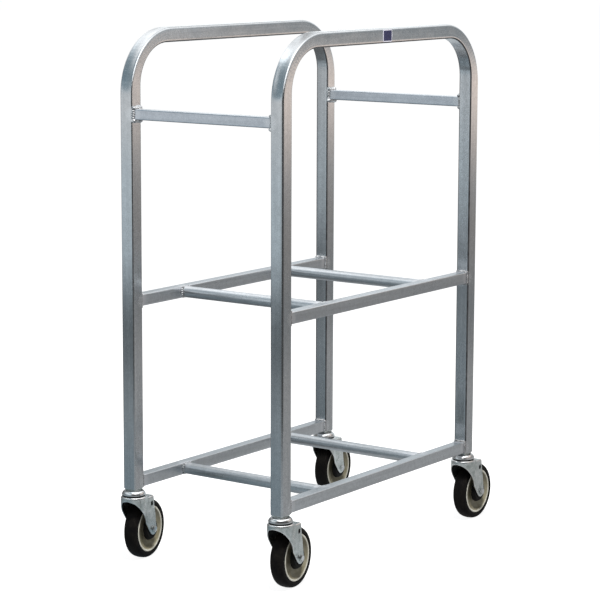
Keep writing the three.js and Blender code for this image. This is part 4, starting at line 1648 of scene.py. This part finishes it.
@dataclass
class Caster:
    """One swivel caster: stem and cup on the frame, fork and axle that turn, wheel that spins."""

    workshop: Workshop
    finishes: Mapping[str, Material]
    name: str
    at: tuple[float, float]
    turn: float
    number: int
    leg_end: float = 164.0
    collar_foot: float = 157.0
    cup_foot: float = 149.0
    raceway_top: float = 146.6
    wheel_radius: float = 65.0
    trail: float = 42.5
    washer_seat: float = 24.3
    hexagon: float = 7.3
    segments: int = 96
    tyre_segments: int = 128
    fork: ForkSheet = field(default_factory=ForkSheet)

    def _moves(self) -> tuple[list[Array], ...]:
        """The moves that put a shape on the frame, on the fork, and, turned about z, on the axle.

        Returns:
            Three lists of 4 by 4 matrices, taken in order.
        """
        centre = (*self.at, 0.0)
        lifted = np.array(Matrix.Translation((0.0, self.trail, self.wheel_radius)))
        swivelled = turn_z(self.turn, centre)
        return [turn_z(0.0, centre)], [swivelled], [lifted @ ALONG_X, swivelled]

    def stem(self) -> Surface:
        """Plug, tapered collar, kingpin and peened head: a rounded square that becomes a circle.

        Returns:
            A closed shell.
        """
        end, foot = self.leg_end, self.collar_foot
        levels = np.array([
            # height, half width, corner radius
            (214.0, 11.8, 1.4), (213.0, 13.2, 2.0), (end + 0.05, 13.225, 2.0), (end, 14.2, 2.6),
            (end - 0.25, 14.65, 2.9), (end - 0.9, 14.6, 3.0), (foot + 0.8, 13.15, 3.2),
            (foot + 0.2, 12.9, 3.2), (foot, 12.5, 3.2), (foot + 0.05, 6.6, 6.6),
            (foot - 0.3, 6.0, 6.0), (143.7, 6.0, 6.0), (143.3, 6.1, 6.1), (143.3, 9.0, 9.0),
            (143.0, 9.4, 9.4), (141.5, 9.4, 9.4), (140.6, 8.9, 8.9), (140.15, 7.6, 7.6),
            (140.1, 5.0, 5.0),
        ])
        height, half, corner = levels.T
        points = raised(Section.make(9, 3).outline(half, half, corner), height[:, None])
        poles = [np.broadcast_to([0.0, 0.0, z], (1, points.shape[1], 3)) for z in height[[0, -1]]]
        rows = join([poles[0], points, poles[1]])
        # Painted shade at the collar's foot, where it meets the cup.
        shade_paint = 0.9 * smooth_step(foot + 0.6, foot + 0.1, rows[..., 2])
        return grid_surface(rows, values={PAINTED_SHADE: shade_paint})

    def cup(self) -> Surface:
        """The pressed cup over the bearing: a rolled rim, a round shoulder, a crest, a sunken seat.

        Returns:
            A closed shell.
        """
        foot, top = self.cup_foot, self.collar_foot
        dome = [
            (20.2 + 5.8 * math.cos(a) ** 1.35, foot + 1.9 + 7.8 * math.sin(a) ** 1.35, 0.9)
            for a in np.linspace(0, QUARTER, 7)[1:]
        ]
        profile = soft_corners([
            (6.15, foot, 0.1), (23.4, foot, 0.3), (24.2, foot + 0.4, 0.4), (25.0, foot, 0.6),
            (25.9, foot + 0.7, 0.6), (26.0, foot + 1.9, 0.6), *dome, (19.35, top + 1.45, 0.5),
            (18.85, top, 0.5), (17.9, top, 0.3), (6.15, top, 0.1),
        ], steps=6)
        radius, height = profile.T
        # Painted shade on the sunken seat round the collar and at the foot by the seal.
        shade_paint = 0.5 * smooth_step(20.0, 19.2, radius) + smooth_step(foot + 1.5, foot + 0.6, height)
        return turned(profile, self.segments, shade_paint=np.clip(shade_paint, 0, 1))

    def race(self) -> Surface:
        """The black ring between cup and crown, with a shallow groove round it.

        Returns:
            A closed shell.
        """
        foot, top = self.raceway_top, self.raceway_top + 2.1
        return turned(soft_corners([
            (9.0, foot, 0.1), (24.5, foot, 0.2), (25.0, foot + 0.4, 0.2), (24.5, foot + 1.0, 0.3),
            (25.0, foot + 1.6, 0.3), (24.4, top, 0.3), (9.0, top, 0.1),
        ]), self.segments)

    def _hexagon(self, levels: Rows, bore: float, sign: float) -> Surface:
        """A hexagon cut by cones: the flats' distance or a level's circle, whichever is nearer.

        Args:
            levels: rows of distance from the washer seat and circle radius.
            bore: hole radius, or 0 to close it with a pole.
            sign: which end of the axle.

        Returns:
            A closed shell about z.
        """
        height, circle = (np.array(levels) + [self.washer_seat, 0.0]).T
        angle = np.arange(self.segments) * (TAU / self.segments)
        flats = self.hexagon * math.cos(math.pi / 6) / np.cos(np.mod(angle, TAU / 6) - TAU / 12)
        reach = np.minimum(flats[None], circle[:, None])
        rows = raised(polar(reach, angle), (height * sign)[:, None])
        ends = [raised(polar(bore, angle), z * sign)[None] for z in height[[0, -1]]]
        return grid_surface(join([ends[0], rows, ends[1]]), wrap_rows=bore > 0)

    def bolt(self) -> list[Surface]:
        """Axle bolt: chamfered hexagon head with a washer face, shank, and a threaded tail.

        Down the tail the radius falls by a cosine of the distance, less the share of a turn.

        Returns:
            Two closed shells, head and shank.
        """
        head = self._hexagon((
            (0.0, 6.0), (0.35, 6.15), (0.35, 6.3), (0.7, 7.1), (0.9, 7.6), (3.9, 7.6),
            (4.25, 7.05), (4.7, 6.45), (5.0, 5.9), (4.85, 5.5), (4.8, 3.0),
        ), 0.0, 1.0)
        shank, pitch, depth, columns = 4.0, 1.25, 0.45, 40
        tail, under_head, thread_end = -(self.washer_seat + 8.5), self.washer_seat + 0.1, -23.6
        rows = join([np.linspace(tail + 0.8, thread_end, 40), [-23.5, under_head]])
        angle = np.arange(columns) * (TAU / columns)
        groove = 0.5 - 0.5 * np.cos(TAU * (rows[:, None] / pitch - angle / TAU))
        radius = shank - depth * groove * (rows[:, None] < thread_end + 0.05)
        closing = np.array([0.0, 2.9])[:, None] * np.ones(columns)
        radius = join([closing, radius, np.zeros((1, columns))])
        rows = join([[tail, tail], rows, [under_head]])
        return [head, grid_surface(raised(polar(radius, angle), rows[:, None]))]

    def nut(self) -> Surface:
        """Lock nut: hexagon with a rounded collar towards the tail.

        Returns:
            A closed shell.
        """
        return self._hexagon((
            (0.0, 6.3), (0.3, 6.9), (0.5, 7.6), (4.0, 7.6), (4.3, 6.6), (4.5, 5.9), (5.4, 5.6),
            (5.85, 5.2), (6.0, 4.8),
        ), 4.15, -1.0)

    def guard(self, sign: float) -> Surface:
        """Thread guard: a dish with a bead near its hub, a sloped flank and a lip at the web.

        Args:
            sign: which end of the axle.

        Returns:
            A closed shell about z.
        """
        back, face, rim = 19.0, 21.2, 12.5
        profile = soft_corners([
            (4.3, face, 0.3), (8.4, face, 0.3), (9.0, face - 0.35, 0.4), (10.2, face - 0.35, 0.4),
            (10.8, face - 0.05, 0.5), (20.9, face - 0.1, 1.6), (23.7, rim + 4.4, 1.6),
            (24.6, rim + 2.0, 0.7), (25.0, rim + 1.2, 0.4), (25.0, rim, 0.3), (23.9, rim, 0.3),
            (23.2, rim + 1.6, 0.8), (20.5, back - 0.1, 1.4), (18.6, back, 0.9), (4.3, back, 0.3),
        ])
        return turned(profile * [1.0, sign], self.segments, start=120.0 * self.number)

    def core(self) -> Surface:
        """Wheel core: hub, filleted web dished towards the lip, and a rounded lip, on both sides.

        Returns:
            A closed shell about z.
        """
        profile = soft_corners(both_sides([
            (6.4, 18.6, 0.3), (12.3, 18.6, 0.5), (13.0, 17.9, 0.5), (14.2, 6.4, 2.6),
            (18.0, 4.3, 2.4), (29.0, 5.2, 5.0), (38.0, 8.0, 4.0), (43.4, 11.4, 2.6),
            (46.3, 14.9, 1.2), (47.2, 15.5, 0.6), (49.7, 15.5, 0.7), (50.5, 14.75, 0.6),
            (50.5, 9.0, 0.3),
        ]), steps=6)
        # Painted shade over the web and hub inside the lip.
        return turned(profile, self.segments, shade_paint=smooth_step(47.3, 45.5, profile[:, 0]))

    def tyre(self) -> Surface:
        """Tyre: round shoulders, a faint crown with a mould line round it, and a step by the lip.

        Returns:
            A closed shell about z.
        """
        profile = soft_corners(both_sides([
            (50.8, 13.6, 0.3), (50.85, 15.1, 0.3), (51.8, 15.8, 0.7), (54.0, 16.0, 1.0),
            (59.9, 15.4, 4.6), (63.3, 11.6, 3.6), (64.6, 6.4, 3.4), (64.82, 1.3, 0.9),
            (64.86, 0.55, 0.2), (65.0, 0.3, 0.12),
        ]), steps=7)
        return turned(profile, self.tyre_segments, start=400.0 * self.number)

    def build(self) -> None:
        """Builds and dresses every piece of the caster, in the order of the table."""
        name, swivel, wheel = self.name, f"{self.name}_swivel", f"{self.name}_wheel"
        fixed, swivelled, on_axle = self._moves()
        steel, bright, black, crisp = "plated_steel", "polished_steel", "black_plastic", 24.0
        fork, bolt = self.fork.surfaces(), self.bolt()
        table = (
            # piece, shapes, moves, finish, body, slot, node, and which edges stay crisp
            ("collar_and_kingpin", [self.stem()], fixed, "plate", "frame", steel, "stem"),
            ("swivel_cup", [self.cup()], fixed, "bright", "frame", bright, "top_cup"),
            ("seal", [self.race()], swivelled, "seal", swivel, "black_seal", "race_ring"),
            ("pressed_fork", fork, swivelled, "plate", swivel, steel, "fork"),
            ("bolt", bolt, on_axle, "fastener", swivel, steel, "axle_bolt", crisp),
            ("lock_nut", [self.nut()], on_axle, "fastener", swivel, steel, "axle_nut", crisp),
            ("head_dish", [self.guard(1.0)], on_axle, "guard", swivel, black, "head_guard"),
            ("nut_dish", [self.guard(-1.0)], on_axle, "guard", swivel, black, "nut_guard"),
            ("core", [self.core()], on_axle, "core", wheel, "wheel_core", "wheel_core"),
            ("tread", [self.tyre()], on_axle, "tyre", wheel, "tyre", "tyre"),
        )
        for piece, shapes, moves, use, body, slot, node, *sharp in table:
            for move in moves:
                shapes = [shape.moved(move) for shape in shapes]
            finish, node = self.finishes[use], f"{name}_{node}"
            self.workshop.piece(f"{name}_{piece}", shapes, finish, body, slot, node, *sharp)


# --- Studio ---


def stage_object(name: str, points: Rows, faces: Rows, material: Material) -> bpy.types.Object:
    """Makes an object that isn't part of the cart.

    Args:
        name: its name.
        points: places in metres.
        faces: point numbers.
        material: its finish.

    Returns:
        The object.
    """
    mesh = bpy.data.meshes.new(name)
    mesh.from_pydata(points, [], faces)
    mesh.materials.append(material)
    obj = bpy.data.objects.new(name, mesh)
    bpy.context.scene.collection.objects.link(obj)
    return obj


@dataclass(frozen=True)
class CardTone:
    """How bright the soft dome is towards one side, from the floor up its wall and on to its top.

    Attributes:
        bearing: direction from the cart, in degrees from +X towards +Y.
        weight: how strongly it holds its side against its neighbours.
        rows: height in metres up the wall (above the wall: its height plus the share of the roof),
            light, and warmth, by which red gains and blue loses.
    """

    bearing: float
    weight: float
    rows: Rows
    blue_share: float = 0.6

    def tone(self, level: Array) -> Array:
        """Linear colours at given levels, by straight interpolation between the rows.

        Args:
            level: heights as the rows count them.

        Returns:
            (..., 3) colours.
        """
        at, light, warmth = zip(*self.rows)
        light, warmth = np.interp(level, at, light), np.interp(level, at, warmth)
        return np.stack([light * (1 + warmth), light, light * (1 - self.blue_share * warmth)], -1)


@dataclass(frozen=True)
class SoftDome:
    """White and grey cards round, under and over the cart, which only its gloss sees.

    An oval bottom just over the floor turns up into a wall, and the wall into a quarter-round
    roof. The glow is a mix of the card tones, each weighted by how closely a point's bearing
    agrees with the card's: weight * exp(tightness * (cos(difference) - 1)).
    """

    half_x: float = 0.95
    half_y: float = 1.1
    wall: float = 1.3
    rise: float = 1.0
    foot: float = 0.002
    tightness: float = 10.0
    squareness: float = 3.0
    roof_turn: float = 1.55
    columns: int = 128
    wall_rows: int = 66
    floor_rows: int = 8
    roof_rows: int = 40
    cards: tuple[CardTone, ...] = (
        CardTone(234.0, 1.7, (
            (0.0, 0.3, -0.2), (0.15, 0.37, -0.12), (0.25, 0.3, -0.1), (0.35, 0.17, -0.12),
            (0.45, 0.2, -0.12), (0.55, 0.66, -0.12), (0.75, 0.74, -0.1), (0.85, 0.8, -0.05),
            (0.95, 0.92, 0.0), (1.1, 0.76, -0.08), (1.2, 0.43, -0.2), (1.3, 0.32, -0.25),
            (1.6, 0.33, -0.22), (1.75, 0.7, -0.12), (1.85, 2.0, -0.05), (1.95, 2.2, 0.0),
            (2.3, 1.0, 0.0),
        )),
        CardTone(54.0, 1.0, (
            (0.0, 0.4, 0.0), (0.1, 0.42, 0.0), (0.2, 0.41, 0.02), (0.3, 0.29, 0.0),
            (0.4, 0.26, -0.03), (0.5, 0.31, 0.04), (0.6, 0.31, 0.08), (0.7, 0.4, 0.03),
            (0.8, 0.58, 0.14), (0.9, 0.86, 0.16), (0.98, 1.0, 0.22), (1.03, 0.74, 0.09),
            (1.07, 0.33, -0.06), (1.15, 0.33, -0.08), (1.3, 1.0, 0.0), (1.6, 1.7, 0.0),
            (2.3, 1.0, 0.0),
        )),
        CardTone(126.0, 1.0, (
            (0.0, 0.63, -0.05), (0.3, 0.73, -0.05), (0.5, 0.68, -0.06), (0.8, 0.64, -0.05),
            (1.0, 0.98, -0.04), (1.21, 1.6, -0.03), (1.3, 1.4, -0.03), (1.45, 0.9, -0.05),
            (1.6, 0.58, 0.0), (1.76, 0.55, 0.0), (1.83, 0.8, 0.0), (1.9, 1.5, -0.03),
            (2.3, 1.0, 0.0),
        )),
        CardTone(306.0, 3.0, (
            (0.0, 0.5, -0.05), (0.12, 0.3, -0.05), (0.2, 0.09, 0.0), (1.12, 0.06, 0.0),
            (1.22, 0.3, 0.0), (1.36, 1.8, 0.0), (1.6, 2.5, 0.0), (1.9, 2.7, 0.0), (2.3, 1.2, 0.0),
        )),
        CardTone(184.0, 1.0, (
            (0.0, 0.15, 0.0), (1.2, 0.15, 0.0), (1.32, 0.8, 0.0), (1.45, 1.8, 0.0), (2.3, 1.0, 0.0),
        )),
    )

    def glow(self, bearing: Array, level: Array) -> Array:
        """The cards' light on the dome.

        Args:
            bearing: directions from the cart, in radians.
            level: heights as the cards count them.

        Returns:
            (..., 3) linear colours.
        """
        light, total = 0.0, 0.0
        for card in self.cards:
            agreement = np.cos(bearing - math.radians(card.bearing)) - 1
            share = card.weight * np.exp(self.tightness * agreement)[..., None]
            light, total = light + share * card.tone(level), total + share
        return light / total

    def surface(self) -> Surface:
        """The dome, in metres, with its glow as three values per point.

        Returns:
            An open surface.
        """
        angle, power = np.arange(self.columns) * (TAU / self.columns), self.squareness
        corner = (np.abs(np.cos(angle)) ** power + np.abs(np.sin(angle)) ** power) ** (-1 / power)
        x, y = self.half_x * corner * np.cos(angle), self.half_y * corner * np.sin(angle)
        climb = np.linspace(0, 1, self.roof_rows + 1)[1:]
        up_wall = np.linspace(self.foot, self.wall, self.wall_rows)
        bottom, roof = np.linspace(0.02, 1, self.floor_rows + 1)[:-1], climb * self.roof_turn
        scale = join([bottom, np.ones(self.wall_rows), np.cos(roof)])
        flat, over = np.full(self.floor_rows, self.foot), self.wall + self.rise * np.sin(roof)
        height = join([flat, up_wall, over])
        level = join([np.zeros(self.floor_rows), up_wall, self.wall + climb])
        plan = np.stack([x, y], axis=1)[None] * scale[:, None, None]
        bearing = np.arctan2(y / self.half_y, x / self.half_x)
        glow = self.glow(*np.broadcast_arrays(bearing[None, :], level[:, None]))
        values = {f"glow_{part}": glow[..., i] for i, part in enumerate("rgb")}
        return grid_surface(raised(plan, height[:, None]), values=values)

    def build(self, shift: Array) -> None:
        """Makes the dome as a stage object that only glossy rays meet.

        Args:
            shift: where the cart's own origin lies, in metres.
        """
        dome, material = self.surface(), bare_material("reflector_card")
        material.cycles.emission_sampling = "NONE"
        nodes = Nodes(material.node_tree)
        parts = [nodes.attribute(name) for name in dome.values]
        colour = nodes.put("CombineColor", dict(enumerate(parts))).outputs[0]
        light = nodes.put("Emission", {"Color": colour, "Strength": 1.0})
        nodes.put("OutputMaterial", {0: light.outputs[0]})
        points, faces = (dome.points + shift).tolist(), dome.faces.tolist()
        card = stage_object("soft_dome", points, faces, material)
        card.visible_camera = card.visible_diffuse = False
        card.visible_shadow = card.visible_transmission = False
        for name, value in dome.values.items():
            carry(card.data, name, value)


@dataclass
class Studio:
    """Floor, cards, lamps, world and camera. Nothing here belongs to the object."""

    shift: Array
    dome: SoftDome = field(default_factory=SoftDome)
    camera_at: Place = (2901.0146, -4099.4973, 1359.4513)
    yaw: float = 0.6329272759
    pitch: float = -0.1595134616
    roll: float = 0.0009788174
    focal: float = 2300.7253
    centre: tuple[float, float] = (265.3231, 297.3188)
    frame_pixels: int = 600
    sensor: float = 36.0
    floor_reach: float = 150.0
    aim: Place = (0.0, 0.0, 0.55)
    lamps: tuple[tuple[str, Place, float, float, Colour], ...] = (
        # name, place in metres, side in metres, watts, linear colour
        ("key_lamp", (1.3, -1.1, 4.0), 0.9, 290.0, (1.0, 0.98, 0.95)),
        ("fill_lamp", (-0.6, -4.2, 2.6), 2.2, 14.0, (0.94, 0.97, 1.0)),
    )

    def camera(self) -> None:
        """The camera at the photograph's place: yaw about z, then pitch, then roll."""
        turns = [(math.cos(a), math.sin(a)) for a in (self.yaw, self.pitch, self.roll)]
        (cos_yaw, sin_yaw), (cos_pitch, sin_pitch), (cos_roll, sin_roll) = turns
        ahead, right = np.array([-sin_yaw, cos_yaw, 0.0]), np.array([cos_yaw, sin_yaw, 0.0])
        up = np.array(Z_AXIS)
        forward, top = ahead * cos_pitch + up * sin_pitch, -ahead * sin_pitch + up * cos_pitch
        side, over = right * cos_roll + top * sin_roll, -right * sin_roll + top * cos_roll
        data = bpy.data.cameras.new("camera")
        data.sensor_fit, data.sensor_width = "HORIZONTAL", self.sensor
        data.lens = self.focal * self.sensor / self.frame_pixels
        data.shift_x = 0.5 - (self.centre[0] + 0.5) / self.frame_pixels
        data.shift_y = (self.centre[1] + 0.5) / self.frame_pixels - 0.5
        data.clip_start, data.clip_end = 0.05, 400.0
        camera = bpy.data.objects.new("camera", data)
        rotation = Matrix(np.stack([side, over, -forward], axis=1).tolist()).to_4x4()
        place = np.array(self.camera_at) * MM + self.shift
        camera.matrix_world = Matrix.Translation(place.tolist()) @ rotation
        bpy.context.scene.collection.objects.link(camera)
        bpy.context.scene.camera = camera

    def floor(self) -> None:
        """A pale floor, wider than any view: white where it is open, with a soft shadow on it."""
        material = bare_material("floor_paint")
        nodes = Nodes(material.node_tree)
        paint = nodes.put("BsdfDiffuse", {"Color": rgba((0.5, 0.5, 0.5))}).outputs[0]
        shaded = nodes.put("BsdfDiffuse", {"Color": rgba((0.4, 0.4, 0.4))}).outputs[0]
        white = {"Color": rgba((1.0, 1.0, 1.0)), "Strength": 0.90}
        both = nodes.put("AddShader", {0: shaded, 1: nodes.put("Emission", white).outputs[0]})
        mixed = nodes.put("MixShader", {0: self.seen(nodes), 1: paint, 2: both.outputs[0]})
        nodes.put("OutputMaterial", {0: mixed.outputs[0]})
        far = self.floor_reach
        points = [(-far, -far, 0), (far, -far, 0), (far, far, 0), (-far, far, 0)]
        stage_object("floor", points, [(0, 1, 2, 3)], material)

    def seen(self, nodes: Nodes) -> Socket:
        """1 for rays that look, straight, in a reflection or through glass, and 0 for light.

        Args:
            nodes: the tree to add to.

        Returns:
            The value.
        """
        path = nodes.put("LightPath", {}).outputs
        straight = nodes.math("MAXIMUM", path["Is Camera Ray"], path["Is Glossy Ray"])
        return nodes.math("MAXIMUM", straight, path["Is Transmission Ray"])

    def light(self) -> None:
        """Square soft lamps, aimed at the middle of the cart; gloss doesn't see them."""
        for name, at, side, watts, colour in self.lamps:
            data = bpy.data.lights.new(name, "AREA")
            data.size, data.energy, data.color = side, watts, colour
            lamp = bpy.data.objects.new(name, data)
            lamp.visible_glossy, lamp.location, lamp.rotation_mode = False, at, "QUATERNION"
            lamp.rotation_quaternion = (Vector(self.aim) - Vector(at)).to_track_quat("-Z", "Y")
            bpy.context.scene.collection.objects.link(lamp)

    def world(self) -> None:
        """An even cool surround for light, and white where it is looked at."""
        world = bpy.data.worlds.new("surround")
        world.use_nodes = True
        world.node_tree.nodes.clear()
        nodes = Nodes(world.node_tree)
        cool = {"Color": rgba((0.94, 0.97, 1.0)), "Strength": 0.28}
        white = {"Color": rgba((1.0, 1.0, 1.0)), "Strength": 1.0}
        parts = [nodes.put("Background", inputs).outputs[0] for inputs in (cool, white)]
        both = nodes.put("MixShader", {0: self.seen(nodes), 1: parts[0], 2: parts[1]})
        nodes.put("OutputWorld", {0: both.outputs[0]})
        bpy.context.scene.world = world

    def build(self) -> None:
        """Sets the whole studio up."""
        bpy.context.scene.view_settings.view_transform = "Standard"
        self.camera()
        self.floor()
        self.light()
        self.world()
        self.dome.build(self.shift)


def build_cart() -> Workshop:
    """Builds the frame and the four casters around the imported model.

    Returns:
        The workshop, for its count of pieces.
    """
    corners = [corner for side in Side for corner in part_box(f"{side.name}_loop")]
    middle = np.array(sum(corners, Vector())) / len(corners)
    shift = np.array([middle[0], middle[1], 0.0])
    workshop = Workshop(shift)
    finishes = make_finishes()
    CartFrame(workshop, finishes).build()
    joints = {joint["name"]: joint for joint in frame["joints"]}
    places = [(end, side) for end in End for side in Side]
    for number, (end, side) in enumerate(places, start=1):
        name = f"{side.name}_{end.name}"
        cup_low, cup_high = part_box(f"{name}_top_cup")
        centre = (np.array(cup_low + cup_high) / 2 - shift) / MM
        axis = joints[f"{name}_wheel_spin"]["axis"]
        turn = math.degrees(math.atan2(axis[1], axis[0]))
        Caster(workshop, finishes, name, (centre[0], centre[1]), turn, number).build()
        bushing = frame["nodes"][f"{name}_axle_bushing"].data.materials
        bushing.clear()
        bushing.append(finishes["plain"])
    return workshop


def main() -> None:
    """Builds the cart, then its studio, and reports."""
    logging.basicConfig(level=logging.INFO, format="%(name)s: %(message)s")
    workshop = build_cart()
    Studio(workshop.shift).build()
    LOG.info("%d pieces made", workshop.made)


if __name__ == "__main__":
    main()
